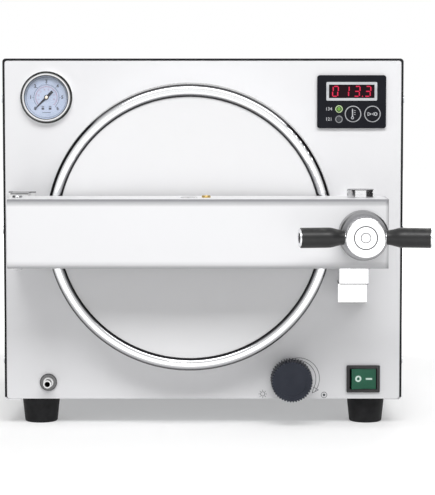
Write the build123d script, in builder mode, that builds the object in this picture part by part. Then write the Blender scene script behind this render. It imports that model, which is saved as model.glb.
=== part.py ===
from build123d import *
import math
import os

os.makedirs("parts", exist_ok=True)

# Portable steam autoclave, millimetres. X runs to the viewer's right, Y runs from the front
# to the back, Z runs up. The origin is on the bench, midway across and along the case.

# Case
case_width = 400.0
case_height = 343.5
case_depth = 390.0
cover_sheet = 1.2
cover_corner = 3.0
cover_lip = 16.0
panel_sheet = 1.5
panel_flange = 15.0
panel_bend = 2.5
trim_wall = 0.4
trim_reach = 7.0
trim_end_height = 3.0
seat_gap = 0.2
fit_gap = 0.1
running_gap = 0.05
body_gap = 0.3

# Feet
foot_height = 25.5
foot_top_radius = 19.2
foot_bottom_radius = 16.5
foot_edge_radius = 2.0
foot_side_offset = 166.0
foot_end_inset = 29.0
foot_recess_radius = 7.0
foot_recess_depth = 12.0
foot_screw_radius = 2.5
foot_screw_head_radius = 5.0
foot_screw_head_height = 4.0
foot_nut_radius = 4.6
foot_nut_height = 4.0

# Chamber
chamber_x = -13.2
chamber_rise = 4.75
chamber_radius = 125.0
chamber_wall = 2.0
chamber_back_clearance = 25.0
chamber_corner = 24.0
flange_radius = 143.5
flange_reach = 8.0
flange_spigot_radius = 133.0
flange_spigot_depth = 6.0
jacket_thickness = 20.0
jacket_back_thickness = 14.0
cradle_thickness = 3.0
cradle_width = 170.0
cradle_height = 62.0
cradle_foot = 18.0
cradle_spacing = 190.0

# Rack, trays and heater inside the chamber
rack_half_width = 85.0
rack_drop = 90.6
rack_rise = 66.0
rack_front_inset = 38.0
rack_back_clearance = 27.0
rack_sheet = 1.5
rack_ledge = 9.0
rack_floor_rise = 22.5
rack_window = 32.0
rack_window_columns = 3
rack_window_rows = 6
tray_levels = (-52.0, -6.0, 40.0)
tray_gap = 0.6
tray_end_gap = 7.0
tray_height = 14.0
tray_sheet = 0.8
tray_slot_length = 24.0
tray_slot_width = 5.0
tray_slot_rows = 7
tray_slot_columns = 4
heater_drop = 108.0
heater_half_width = 42.0
heater_tube_radius = 4.0
heater_front_inset = 60.0
heater_corner = 30.0
heater_back_inset = 40.0
heater_rise_run = 20.0
heater_gland_radius = 7.0
heater_gland_reach = 9.0

# Lid
lid_radius = 142.0
lid_rim_inner_radius = 129.5
lid_rim_front = 38.0
lid_rim_round = 5.0
lid_skirt = 1.7
lid_plate_back = 9.0
lid_plate_thickness = 6.0
gasket_inner_radius = 127.5
gasket_outer_radius = 136.5
gasket_seat_depth = 3.2
lid_face_edge_front = 34.0
lid_face_centre_front = 29.5
lid_face_sheet = 1.5
boss_flange_radius = 32.0
boss_flange_thickness = 6.0
boss_radius = 20.0
boss_eye_half_width = 24.0
boss_eye_half_height = 28.0
boss_eye_half_depth = 16.0
pivot_radius = 8.4
pivot_cap_rise = 0.5
pivot_tip_radius = 2.4
pivot_tip_drop = 2.2
lock_screw_offset = 16.7
lock_screw_radius = 2.5
lock_screw_head_radius = 4.3
lock_screw_head_height = 2.2
lock_screw_depth = 12.0

# Cross beam
beam_left = -187.2
beam_right = 178.8
beam_height = 67.0
beam_centre_height = 200.7
beam_back = 40.0
beam_depth = 60.0
beam_wall = 2.5
beam_bend = 4.5

# Hinge
hinge_x = -179.7
hinge_front = 70.0
hinge_pin_radius = 4.0
hinge_head_radius = 5.0
hinge_head_height = 2.3
hinge_head_round = 1.6
hinge_nut_radius = 5.35
hinge_nut_height = 3.2
hinge_nut_cap = 1.2
hinge_nut_round = 2.4
hinge_washer_radius = 8.0
hinge_washer_thickness = 1.2
hinge_barrel_radius = 8.5
hinge_neck_half_width = 6.5
hinge_lug_width = 17.2
hinge_lug_offset = -1.4
hinge_lug_front = 37.6
hinge_lug_top = 236.6
hinge_lug_bottom = 166.0
hinge_plate_width = 27.0
hinge_plate_thickness = 5.0

# Keeper and clamp screw
screw_x = 153.3
screw_height = 200.5
screw_radius = 7.0
screw_tip_radius = 2.8
screw_tip_front = 31.0
screw_taper_length = 12.0
screw_end_radius = 4.1
keeper_x = 149.25
keeper_width = 28.3
keeper_front = 39.4
keeper_top = 226.0
keeper_bottom = 146.4
keeper_step_front = 17.0
keeper_step_bottom = 126.0
keeper_bore_radius = 7.4
keeper_mouth_radius = 9.6
keeper_mouth_depth = 2.2
trunnion_radius = 13.0
trunnion_top = 242.6
trunnion_cap_height = 2.6
trunnion_groove = 0.8
trunnion_foot_drop = 1.6
support_bar_thickness = 6.0
support_bar_height = 112.0
support_bar_centre_height = 186.0
left_bar_width = 40.0
left_bar_x = -169.0
right_bar_width = 50.0
right_bar_x = 147.5
bolt_radius = 4.0
bolt_head_radius = 7.0
bolt_head_height = 5.3
bolt_engagement = 12.0
bolt_clearance = 0.15
hinge_bolt_half_pitch = 17.0
keeper_bolt_rise = 13.6
keeper_step_bolt_rise = 8.5

# Handle
collar_radius = 23.5
collar_length = 24.0
collar_chamfer = 1.5
hub_radius = 18.8
hub_length = 23.0
hub_round = 1.4
hub_recess_radius = 10.9
hub_recess_depth = 3.0
arm_sweep_angle = 8.5
arm_inset = 12.0
rod_radius = 4.5
rod_start = 9.0
grip_start = 20.5
grip_end = 62.0
grip_shoulder = 36.0
grip_edge_round = 0.9
rod_end_inset = 6.0
grip_inner_end_radius = 6.95
grip_outer_end_radius = 9.55
end_ring_radius = 8.6
end_ring_bore_radius = 5.0
end_ring_thickness = 1.0

# Pressure gauge
gauge_x = -156.3
gauge_height = 330.7
bezel_radius = 26.0
bezel_opening_radius = 21.5
bezel_depth = 8.0
bezel_lip = 1.2
bezel_slope_width = 2.3
bezel_slope_length = 3.2
gauge_body_radius = 23.4
gauge_body_depth = 26.0
gauge_body_wall = 1.0
dial_front = 2.6
dial_thickness = 0.8
glass_thickness = 1.5
needle_thickness = 0.6
needle_hub_radius = 2.4
needle_tip_length = 16.0
needle_tail_length = 8.5
needle_tip_half_width = 0.25
needle_root_half_width = 1.3
needle_tail_half_width = 1.4
needle_zero_angle = 225.0
spindle_radius = 0.8
gauge_stem_radius = 6.0
gauge_stem_length = 12.0
gauge_pipe_radius = 3.0
gauge_pipe_run = 110.0
gauge_pipe_side_step = 56.0

# Control fascia
fascia_x = 148.5
fascia_height = 326.35
fascia_width = 68.8
fascia_tall = 52.9
fascia_thickness = 3.0
fascia_corner = 2.7
fascia_border = 5.0
frame_height = 336.7
frame_width = 50.7
frame_tall = 18.6
frame_border = 2.6
frame_rise = 1.2
window_recess = 1.6
digit_tall = 11.0
digit_wide = 6.3
digit_stroke = 1.15
digit_pitch = 10.8
digit_slant = 0.6
digit_rise = 0.2
lamp_x = 135.9
lamp_heights = (319.1, 308.9)
lamp_radius = 2.6
lamp_rise = 0.8
button_height = 314.15
temperature_button_x = 149.9
start_button_x = 169.3
button_radius = 7.0
button_rise = 1.2
button_flange_radius = 8.1
button_flange_thickness = 1.2
button_stem_radius = 2.5
button_stem_length = 2.0
button_travel = 0.8
board_front = -9.0
board_thickness = 1.6
board_post_radius = 2.5

# Exhaust knob and valve
knob_x = 88.8
knob_height = 47.7
knob_radius = 21.0
knob_front = 29.0
knob_back = 2.6
knob_tooth_count = 44
knob_tooth_depth = 2.1
knob_tooth_land = 0.3
knob_face_round = 0.6
knob_draft = 1.0
knob_dish_radius = 15.0
knob_dish_depth = 0.6
stem_radius = 4.0
valve_nut_radius = 9.5
valve_nut_thickness = 2.0
valve_width = 30.0
valve_tall = 26.0
valve_depth = 36.0
valve_bonnet_radius = 8.0
valve_bonnet_length = 10.0
exhaust_pipe_radius = 4.0
exhaust_pipe_run = 250.0
pipe_bend = 14.0

# Drain
drain_x = -156.2
drain_height = 43.7
drain_flange_radius = 8.6
drain_flange_thickness = 3.0
drain_tube_radius = 4.0
drain_bore_radius = 2.75
drain_tube_reach = 17.0
drain_inner_reach = 20.0
drain_pipe_radius = 4.5
drain_pipe_run = 45.0
drain_pipe_side_step = 66.0

# Power switch
switch_x = 161.6
switch_height = 47.1
switch_width = 33.6
switch_tall = 27.4
switch_rise = 2.5
switch_body_depth = 24.0
switch_pocket_depth = 11.0
switch_wall = 1.5
rocker_half_width = 12.4
rocker_tall = 20.6
rocker_pocket_gap = 0.4
rocker_edge_rise = 4.6
rocker_middle_rise = 2.8
rocker_depth = 5.0
rocker_pivot_front = -2.0
rocker_pin_radius = 2.0
rocker_pin_length = 1.2
rocker_angle = 8.0

# Rear fittings
inlet_x = 150.0
inlet_height = 72.0
inlet_width = 31.0
inlet_tall = 24.0
inlet_rise = 3.0
inlet_body_depth = 26.0
inlet_socket_width = 24.5
inlet_socket_tall = 16.8
inlet_socket_depth = 16.0
inlet_pin_width = 2.0
inlet_pin_tall = 4.0
inlet_pin_pitch = 7.0
inlet_pin_length = 12.0
fuse_x = 112.0
fuse_pitch = 22.0
fuse_radius = 7.0
fuse_cap_radius = 6.2
fuse_rise = 10.0
fuse_body_depth = 22.0
safety_x = 48.0
safety_height = 262.0
safety_stem_radius = 6.0
safety_hex_radius = 12.0
safety_hex_length = 8.0
safety_body_radius = 9.0
safety_body_length = 18.0
safety_bore_radius = 2.6
pull_pin_radius = 2.0
pull_pin_reach = 8.0
pull_ring_radius = 11.0
pull_ring_wire = 1.4
vent_slot_length = 34.0
vent_slot_width = 3.2
vent_pitch = 9.0
vent_count = 13
rear_vent_height = 110.0
rear_vent_offset = 60.0
side_vent_length = 40.0
side_vent_count = 9
side_vent_pitch = 11.0
side_vent_y = 110.0
side_vent_height = 92.0
cover_screw_radius = 1.9
cover_screw_head_radius = 4.0
cover_screw_head_height = 2.0
cover_screw_length = 6.0
cover_screw_margin = 40.0

# Places that follow from the sizes above
panel_face = -case_depth / 2
rear_face = case_depth / 2
case_bottom = foot_height
case_top = case_bottom + case_height
case_middle = case_bottom + case_height / 2
chamber_height = case_middle + chamber_rise
cover_inside = case_width - 2 * cover_sheet
pan_width = cover_inside - 2 * trim_wall - 2 * seat_gap
pan_bottom = case_bottom + cover_sheet + seat_gap
pan_top = case_top - cover_sheet - trim_wall - seat_gap
pan_height = pan_top - pan_bottom
pan_middle = (pan_bottom + pan_top) / 2
tray_top = pan_bottom + panel_sheet
shell_radius = chamber_radius + chamber_wall
jacket_radius = shell_radius + jacket_thickness


def ahead(distance):
    """Y of a point this far in front of the front panel's outer face."""
    return panel_face - distance


def upright(y):
    """Vertical plane at this Y that faces the front, with X across and Z up."""
    return Plane.XZ.offset(-y)


def level(z):
    """Horizontal plane at this height."""
    return Plane.XY.offset(z)


def turned(x, z, outline):
    """Piece turned about a front-to-back axis through x, z from a radius, y outline."""
    with BuildPart() as piece:
        with BuildSketch(Plane((x, 0, z))):
            with BuildLine():
                Polyline(*outline, close=True)
            make_face()
        revolve(axis=Axis((x, 0, z), (0, 1, 0)))
    return piece


def disc(x, z, y_front, y_back, radius, bore=0.0):
    """Round disc or ring between two Y places."""
    with BuildPart() as piece:
        with BuildSketch(upright(y_back)):
            with Locations((x, z)):
                Circle(radius)
                if bore > 0:
                    Circle(bore, mode=Mode.SUBTRACT)
        extrude(amount=y_back - y_front)
    return piece


def block(x_range, y_range, z_range):
    """Plain box between the given limits."""
    with BuildPart() as piece:
        centre = [(low + high) / 2 for low, high in (x_range, y_range, z_range)]
        with Locations(tuple(centre)):
            Box(x_range[1] - x_range[0], y_range[1] - y_range[0], z_range[1] - z_range[0])
    return piece


def pipe(points, corner, radius, bore=0.0):
    """Tube along straight runs joined by tangent arcs."""
    with BuildPart() as piece:
        with BuildLine() as route:
            FilletPolyline(*points, radius=corner)
        start = Plane(route.line @ 0, z_dir=route.line % 0)
        with BuildSketch(start):
            Circle(radius)
            if bore > 0:
                Circle(bore, mode=Mode.SUBTRACT)
        sweep(path=route.line)
    return piece


def jacket_half_chord(x, radius):
    """Half height of the jacket at the side of an upright pipe that is nearer to its axis."""
    return math.sqrt(jacket_radius**2 - (abs(x - chamber_x) - radius) ** 2)


def keep(piece, name):
    """Label a finished piece and write it."""
    piece.part.label = name
    export_step(piece.part, f"parts/{name}.step")


# Places of the fasteners and feet
foot_places = [
    (side * foot_side_offset, end * (case_depth / 2 - foot_end_inset)) for side in (-1, 1) for end in (-1, 1)
]
side_screw_places = [
    (y, z)
    for y in (panel_face + panel_flange / 2 + trim_reach / 2, rear_face - panel_flange / 2)
    for z in (case_bottom + cover_screw_margin, case_middle, case_top - cover_screw_margin)
]
hinge_lug_middle = (hinge_lug_top + hinge_lug_bottom) / 2
hinge_bolt_places = [
    (hinge_x + hinge_lug_offset, hinge_lug_middle + side * hinge_bolt_half_pitch) for side in (-1, 1)
]
keeper_bolt_places = [
    (keeper_x, keeper_bottom + keeper_bolt_rise),
    (keeper_x, keeper_step_bottom + keeper_step_bolt_rise),
]


# Base tray: the floor of the case, a sheet with upturned ends
with BuildPart() as base_tray:
    tray_length_y = case_depth - 2 * panel_sheet - 2 * seat_gap
    with BuildSketch(level(pan_bottom)):
        Rectangle(pan_width - 2 * panel_sheet - 2 * seat_gap, tray_length_y)
        with Locations(*foot_places):
            Circle(foot_screw_radius + fit_gap, mode=Mode.SUBTRACT)
    extrude(amount=panel_sheet)

keep(base_tray, "base_tray")


def keep_group(pieces, name):
    """Write several pieces as separate solids of one node."""
    group = Compound(label=name, children=[solid for piece in pieces for solid in piece.part.solids()])
    export_step(group, f"parts/{name}.step")


def pan(face_y, inward):
    """Panel with a flange round its edge; inward is 1 for the front and -1 for the rear."""
    with BuildPart() as piece:
        with BuildSketch(upright(face_y)):
            with Locations((0, pan_middle)):
                RectangleRounded(pan_width, pan_height, panel_bend)
        extrude(amount=-inward * panel_flange)
        with BuildSketch(upright(face_y + inward * panel_sheet)):
            with Locations((0, (tray_top + seat_gap + pan_top - panel_sheet) / 2)):
                Rectangle(pan_width - 2 * panel_sheet, pan_top - panel_sheet - tray_top - seat_gap)
        extrude(amount=-inward * panel_flange, mode=Mode.SUBTRACT)
    return piece


# Front panel with its openings
front_pan = pan(panel_face, 1)
floor_slot = block(
    (-pan_width / 2 + panel_sheet, pan_width / 2 - panel_sheet),
    (panel_face + panel_sheet, panel_face + panel_flange + 1),
    (pan_bottom - 1, tray_top + seat_gap + 1),
)
with BuildPart() as front_panel:
    add(front_pan.part)
    add(floor_slot.part, mode=Mode.SUBTRACT)
    with BuildSketch(upright(panel_face + panel_sheet)):
        with Locations((chamber_x, chamber_height)):
            Circle(flange_spigot_radius + seat_gap)
        with Locations((gauge_x, gauge_height)):
            Circle(gauge_body_radius + fit_gap)
        with Locations((fascia_x, fascia_height)):
            Rectangle(fascia_width - 2 * fascia_border, fascia_tall - 2 * fascia_border)
        with Locations((knob_x, knob_height)):
            Circle(valve_bonnet_radius + fit_gap)
        with Locations((drain_x, drain_height)):
            Circle(drain_tube_radius + 1 + fit_gap)
        with Locations((switch_x, switch_height)):
            Rectangle(switch_width - 2 * switch_wall, switch_tall - 2 * switch_wall)
        with Locations(*hinge_bolt_places, *keeper_bolt_places):
            Circle(bolt_radius + bolt_clearance)
    extrude(amount=panel_sheet, mode=Mode.SUBTRACT)
keep(front_panel, "front_panel")

# Rear panel with vents and the openings for the rear fittings
rear_pan = pan(rear_face, -1)
rear_floor_slot = block(
    (-pan_width / 2 + panel_sheet, pan_width / 2 - panel_sheet),
    (rear_face - panel_flange - 1, rear_face - panel_sheet),
    (pan_bottom - 1, tray_top + seat_gap + 1),
)
with BuildPart() as rear_panel:
    add(rear_pan.part)
    add(rear_floor_slot.part, mode=Mode.SUBTRACT)
    with BuildSketch(upright(rear_face)):
        with Locations((chamber_x - rear_vent_offset, rear_vent_height)):
            with GridLocations(vent_pitch, 1, vent_count, 1):
                SlotOverall(vent_slot_length, vent_slot_width, rotation=90)
        with Locations((inlet_x, inlet_height)):
            Rectangle(inlet_width - 2 * switch_wall, inlet_tall - 2 * switch_wall)
        with Locations((fuse_x, inlet_height), (fuse_x - fuse_pitch, inlet_height)):
            Circle(fuse_cap_radius + fit_gap)
        with Locations((safety_x, safety_height)):
            Circle(safety_hex_radius + 2)
    extrude(amount=panel_sheet, mode=Mode.SUBTRACT)
keep(rear_panel, "rear_panel")

# Wrap cover: sides and top in one sheet, with lips turned in under the base tray
with BuildPart() as wrap_cover:
    with BuildSketch(upright(panel_face)):
        with Locations((0, case_middle)):
            RectangleRounded(case_width, case_height, cover_corner)
            RectangleRounded(
                cover_inside,
                case_height - 2 * cover_sheet,
                cover_corner - cover_sheet,
                mode=Mode.SUBTRACT,
            )
        with Locations((0, case_bottom)):
            Rectangle(case_width - 2 * cover_lip, 4 * cover_sheet, mode=Mode.SUBTRACT)
    extrude(amount=-case_depth)
    with BuildSketch(Plane.YZ.offset(-case_width)):
        with Locations((side_vent_y, side_vent_height)):
            with GridLocations(side_vent_pitch, 1, side_vent_count, 1):
                SlotOverall(side_vent_length, vent_slot_width, rotation=90)
        with Locations(*side_screw_places):
            Circle(cover_screw_radius + fit_gap)
    extrude(amount=2 * case_width, mode=Mode.SUBTRACT)
keep(wrap_cover, "wrap_cover")

# Black edge trim pressed over the cover's front edge, open along the bottom
trim_outer = case_width + 2 * trim_wall
trim_outer_height = case_height + 2 * trim_wall
trim_inner = cover_inside - 2 * trim_wall
trim_inner_height = case_height - 2 * cover_sheet - 2 * trim_wall
with BuildPart() as edge_trim:
    with BuildSketch(upright(panel_face)):
        with Locations((0, case_middle)):
            RectangleRounded(trim_outer, trim_outer_height, cover_corner + trim_wall)
            RectangleRounded(trim_inner, trim_inner_height, panel_bend, mode=Mode.SUBTRACT)
    extrude(amount=trim_wall)
    with BuildSketch(upright(panel_face)):
        with Locations((0, case_middle)):
            RectangleRounded(trim_outer, trim_outer_height, cover_corner + trim_wall)
            RectangleRounded(case_width, case_height, cover_corner, mode=Mode.SUBTRACT)
            RectangleRounded(cover_inside, case_height - 2 * cover_sheet, cover_corner - cover_sheet)
            RectangleRounded(trim_inner, trim_inner_height, panel_bend, mode=Mode.SUBTRACT)
    extrude(amount=-trim_reach)
    with BuildSketch(upright(panel_face - 2 * trim_wall)):
        with Locations((0, case_bottom)):
            Rectangle(trim_outer + 1, 2 * trim_end_height)
    extrude(amount=-trim_reach - 4 * trim_wall, mode=Mode.SUBTRACT)
keep(edge_trim, "edge_trim")

# Four rubber feet and the screws that hold them
with BuildPart() as rubber_feet:
    for x, y in foot_places:
        with BuildSketch(Plane((x, y, 0), z_dir=(0, 0, 1))):
            Circle(foot_bottom_radius)
        with BuildSketch(Plane((x, y, foot_height), z_dir=(0, 0, 1))):
            Circle(foot_top_radius)
        loft()
    fillet(rubber_feet.faces().filter_by(Axis.Z).sort_by(Axis.Z)[:4].edges(), radius=foot_edge_radius)
    with BuildSketch(level(0)):
        with Locations(*foot_places):
            Circle(foot_recess_radius)
    extrude(amount=foot_recess_depth, mode=Mode.SUBTRACT)
    with BuildSketch(level(0)):
        with Locations(*foot_places):
            Circle(foot_screw_radius + fit_gap)
    extrude(amount=foot_height, mode=Mode.SUBTRACT)
keep(rubber_feet, "rubber_feet")

with BuildPart() as foot_screws:
    with BuildSketch(level(foot_recess_depth - foot_screw_head_height)):
        with Locations(*foot_places):
            Circle(foot_screw_head_radius)
    extrude(amount=foot_screw_head_height)
    with BuildSketch(level(foot_recess_depth)):
        with Locations(*foot_places):
            Circle(foot_screw_radius)
    extrude(amount=tray_top + foot_nut_height - foot_recess_depth)
    with BuildSketch(level(tray_top)):
        with Locations(*foot_places):
            RegularPolygon(foot_nut_radius, 6)
    extrude(amount=foot_nut_height)

# Screws that hold the cover to the flanges of the panels
with BuildPart() as cover_screws:
    for side in (-1, 1):
        outward = Plane.YZ.offset(side * case_width / 2)
        with BuildSketch(outward):
            with Locations(*side_screw_places):
                Circle(cover_screw_head_radius)
        extrude(amount=side * cover_screw_head_height)
        with BuildSketch(outward):
            with Locations(*side_screw_places):
                Circle(cover_screw_radius)
        extrude(amount=-side * (cover_sheet + trim_wall))
keep_group([foot_screws, cover_screws], "case_screws")

# Pressure chamber: deep cup with a rounded bottom corner, welded into its flange
chamber_mouth = ahead(flange_reach)
chamber_depth = case_depth - chamber_back_clearance
chamber_end = chamber_mouth + chamber_depth
with BuildPart() as chamber_shell:
    with BuildSketch(Plane((chamber_x, 0, chamber_height))):
        with BuildLine():
            shell_outside = FilletPolyline(
                (shell_radius, chamber_mouth),
                (shell_radius, chamber_end + chamber_wall),
                (0, chamber_end + chamber_wall),
                radius=chamber_corner + chamber_wall,
            )
            shell_inside = FilletPolyline(
                (chamber_radius, chamber_mouth),
                (chamber_radius, chamber_end),
                (0, chamber_end),
                radius=chamber_corner,
            )
            Line(shell_outside @ 0, shell_inside @ 0)
            Line(shell_outside @ 1, shell_inside @ 1)
        make_face()
    revolve(axis=Axis((chamber_x, 0, chamber_height), (0, 1, 0)))
    with BuildSketch(upright(chamber_end + 2 * chamber_wall)):
        with Locations((safety_x, safety_height)):
            Circle(safety_stem_radius + fit_gap)
        with Locations(
            (chamber_x - heater_half_width, chamber_height - heater_drop + heater_tube_radius * 4),
            (chamber_x + heater_half_width, chamber_height - heater_drop + heater_tube_radius * 4),
        ):
            Circle(heater_tube_radius + fit_gap)
    extrude(amount=3 * chamber_wall, mode=Mode.SUBTRACT)
keep(chamber_shell, "chamber_shell")

chamber_flange = turned(
    chamber_x,
    chamber_height,
    [
        (shell_radius + running_gap, ahead(flange_reach)),
        (flange_radius, ahead(flange_reach)),
        (flange_radius, ahead(0)),
        (flange_spigot_radius, ahead(0)),
        (flange_spigot_radius, ahead(-flange_spigot_depth)),
        (shell_radius + running_gap, ahead(-flange_spigot_depth)),
    ],
)
keep(chamber_flange, "chamber_flange")

# Insulation round the chamber and behind it
jacket_front = ahead(-flange_spigot_depth) + support_bar_thickness + 4
jacket_back = chamber_end + chamber_wall + jacket_back_thickness
with BuildPart() as insulation_jacket:
    with BuildSketch(Plane((chamber_x, 0, chamber_height))):
        with BuildLine():
            jacket_outside = Polyline(
                (jacket_radius, jacket_front),
                (jacket_radius, jacket_back),
                (0, jacket_back),
            )
            jacket_inside = FilletPolyline(
                (shell_radius + running_gap, jacket_front),
                (shell_radius + running_gap, chamber_end + chamber_wall + running_gap),
                (0, chamber_end + chamber_wall + running_gap),
                radius=chamber_corner + chamber_wall,
            )
            Line(jacket_outside @ 0, jacket_inside @ 0)
            Line(jacket_outside @ 1, jacket_inside @ 1)
        make_face()
    revolve(axis=Axis((chamber_x, 0, chamber_height), (0, 1, 0)))
    with BuildSketch(upright(jacket_back + 1)):
        with Locations((safety_x, safety_height)):
            Circle(safety_stem_radius + 1)
        with Locations(
            (chamber_x - heater_half_width, chamber_height - heater_drop + heater_tube_radius * 4),
            (chamber_x + heater_half_width, chamber_height - heater_drop + heater_tube_radius * 4),
        ):
            Circle(heater_gland_radius + 1)
    extrude(amount=jacket_back_thickness + 2, mode=Mode.SUBTRACT)
keep(insulation_jacket, "insulation_jacket")

# Two saddles that carry the jacketed chamber on the base tray
with BuildPart() as chamber_cradle:
    for end in (-1, 1):
        saddle_y = end * cradle_spacing / 2
        with BuildSketch(upright(saddle_y)):
            with Locations((chamber_x, tray_top + cradle_height / 2)):
                Rectangle(cradle_width, cradle_height)
            with Locations((chamber_x, chamber_height)):
                Circle(jacket_radius + seat_gap, mode=Mode.SUBTRACT)
        extrude(amount=-end * cradle_thickness)
        with BuildSketch(level(tray_top)):
            with Locations((chamber_x, saddle_y + end * cradle_foot / 2)):
                Rectangle(cradle_width, cradle_foot)
        extrude(amount=cradle_thickness)
keep(chamber_cradle, "chamber_cradle")

# Rack: an open U of sheet with three pairs of ledges
rack_front = chamber_mouth + rack_front_inset
rack_length = chamber_depth - rack_front_inset - rack_back_clearance
rack_bottom = chamber_height - rack_drop
rack_top = chamber_height + rack_rise
rack_inside = rack_half_width - rack_sheet
rack_column_pitch = (2 * rack_inside - rack_window) / rack_window_columns
rack_row_pitch = (rack_length - rack_window) / rack_window_rows
with BuildPart() as tray_rack:
    with BuildSketch(upright(rack_front)):
        for side in (-1, 1):
            with Locations((chamber_x + side * (rack_half_width - rack_sheet / 2), (rack_bottom + rack_top) / 2)):
                Rectangle(rack_sheet, rack_top - rack_bottom)
            for tray_level in tray_levels:
                ledge_x = chamber_x + side * (rack_inside - rack_ledge / 2)
                with Locations((ledge_x, chamber_height + tray_level - rack_sheet / 2)):
                    Rectangle(rack_ledge, rack_sheet)
        with Locations((chamber_x, rack_bottom + rack_floor_rise + rack_sheet / 2)):
            Rectangle(2 * rack_inside, rack_sheet)
    extrude(amount=-rack_length)
    with BuildSketch(level(rack_bottom)):
        with Locations((chamber_x, rack_front + rack_length / 2)):
            with GridLocations(rack_column_pitch, rack_row_pitch, rack_window_columns, rack_window_rows):
                Rectangle(rack_window, rack_window)
    extrude(amount=rack_floor_rise + 2 * rack_sheet, mode=Mode.SUBTRACT)
keep(tray_rack, "tray_rack")

# Three perforated trays that stand on the ledges
tray_half_width = rack_inside - tray_gap
tray_length = rack_length - 2 * tray_end_gap
tray_front = rack_front + tray_end_gap
tray_column_pitch = 2 * tray_half_width / tray_slot_columns
tray_row_pitch = tray_length / tray_slot_rows
with BuildPart() as instrument_trays:
    for tray_level in tray_levels:
        floor_height = chamber_height + tray_level + tray_gap / 2
        with BuildSketch(level(floor_height)):
            with Locations((chamber_x, tray_front + tray_length / 2)):
                Rectangle(2 * tray_half_width, tray_length)
        extrude(amount=tray_height)
        with BuildSketch(level(floor_height + tray_sheet)):
            with Locations((chamber_x, tray_front + tray_length / 2)):
                Rectangle(2 * (tray_half_width - tray_sheet), tray_length - 2 * tray_sheet)
        extrude(amount=tray_height, mode=Mode.SUBTRACT)
        with BuildSketch(level(floor_height)):
            with Locations((chamber_x, tray_front + tray_length / 2)):
                with GridLocations(tray_column_pitch, tray_row_pitch, tray_slot_columns, tray_slot_rows):
                    SlotOverall(tray_slot_length, tray_slot_width)
        extrude(amount=tray_sheet, mode=Mode.SUBTRACT)
keep(instrument_trays, "instrument_trays")

# Heating tube: one loop low in the chamber, with both ends out through the back
heater_z = chamber_height - heater_drop
heater_exit_z = heater_z + 4 * heater_tube_radius
heater_back = chamber_end - heater_back_inset
heater_route = [
    (chamber_x - heater_half_width, chamber_end + chamber_wall + heater_gland_reach, heater_exit_z),
    (chamber_x - heater_half_width, heater_back + heater_rise_run, heater_exit_z),
    (chamber_x - heater_half_width, heater_back - heater_rise_run, heater_z),
    (chamber_x - heater_half_width, chamber_mouth + heater_front_inset, heater_z),
    (chamber_x + heater_half_width, chamber_mouth + heater_front_inset, heater_z),
    (chamber_x + heater_half_width, heater_back - heater_rise_run, heater_z),
    (chamber_x + heater_half_width, heater_back + heater_rise_run, heater_exit_z),
    (chamber_x + heater_half_width, chamber_end + chamber_wall + heater_gland_reach, heater_exit_z),
]
heater_tube = pipe(heater_route, heater_corner, heater_tube_radius)
with BuildPart() as heating_tube:
    add(heater_tube.part)
    for side in (-1, 1):
        gland_x = chamber_x + side * heater_half_width
        gland = disc(
            gland_x,
            heater_exit_z,
            chamber_end + chamber_wall + running_gap,
            chamber_end + chamber_wall + heater_gland_reach,
            heater_gland_radius,
        )
        add(gland.part)
keep(heating_tube, "heating_tube")

# Steel bars behind the panel that carry the hinge and the keeper
with BuildPart() as support_bars:
    with BuildSketch(upright(panel_face + panel_sheet)):
        with Locations((left_bar_x, support_bar_centre_height)):
            Rectangle(left_bar_width, support_bar_height)
        with Locations((right_bar_x, support_bar_centre_height)):
            Rectangle(right_bar_width, support_bar_height)
        with Locations((chamber_x, chamber_height)):
            Circle(flange_spigot_radius + seat_gap, mode=Mode.SUBTRACT)
        with Locations(*hinge_bolt_places, *keeper_bolt_places):
            Circle(bolt_radius + bolt_clearance, mode=Mode.SUBTRACT)
    extrude(amount=-support_bar_thickness)
keep(support_bars, "support_bars")

bolt_head_y = panel_face + panel_sheet + support_bar_thickness
with BuildPart() as mounting_bolts:
    with BuildSketch(upright(bolt_head_y)):
        with Locations(*hinge_bolt_places, *keeper_bolt_places):
            RegularPolygon(bolt_head_radius, 6)
    extrude(amount=-bolt_head_height)
    with BuildSketch(upright(bolt_head_y)):
        with Locations(*hinge_bolt_places, *keeper_bolt_places):
            Circle(bolt_radius)
    extrude(amount=bolt_head_y - ahead(bolt_engagement))
keep(mounting_bolts, "mounting_bolts")

# Hinge bracket: foot plate on the panel, lug behind the beam, neck and barrel inside the beam
beam_bottom = beam_centre_height - beam_height / 2
beam_top = beam_centre_height + beam_height / 2
barrel_bottom = beam_bottom + beam_wall + hinge_washer_thickness + body_gap
barrel_top = beam_top - beam_wall - hinge_washer_thickness - body_gap
barrel_height = barrel_top - barrel_bottom
lug_x = hinge_x + hinge_lug_offset
lug_height = hinge_lug_top - hinge_lug_bottom
lug_middle = (hinge_lug_top + hinge_lug_bottom) / 2
with BuildPart() as hinge_bracket:
    with BuildSketch(upright(ahead(0))):
        with Locations((lug_x, lug_middle)):
            Rectangle(hinge_plate_width, lug_height)
    extrude(amount=hinge_plate_thickness)
    with BuildSketch(upright(ahead(0))):
        with Locations((lug_x, lug_middle)):
            Rectangle(hinge_lug_width, lug_height)
    extrude(amount=hinge_lug_front)
    with BuildSketch(level(barrel_bottom)):
        with Locations((hinge_x, ahead((hinge_lug_front + hinge_front) / 2))):
            Rectangle(2 * hinge_neck_half_width, hinge_front - hinge_lug_front)
        with Locations((hinge_x, ahead(hinge_front))):
            Circle(hinge_barrel_radius)
    extrude(amount=barrel_height)
    with BuildSketch(level(barrel_bottom)):
        with Locations((hinge_x, ahead(hinge_front))):
            Circle(hinge_pin_radius + running_gap)
    extrude(amount=barrel_height, mode=Mode.SUBTRACT)
    with BuildSketch(upright(ahead(0))):
        with Locations(*hinge_bolt_places):
            Circle(bolt_radius + bolt_clearance)
    extrude(amount=bolt_engagement + 1, mode=Mode.SUBTRACT)
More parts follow.
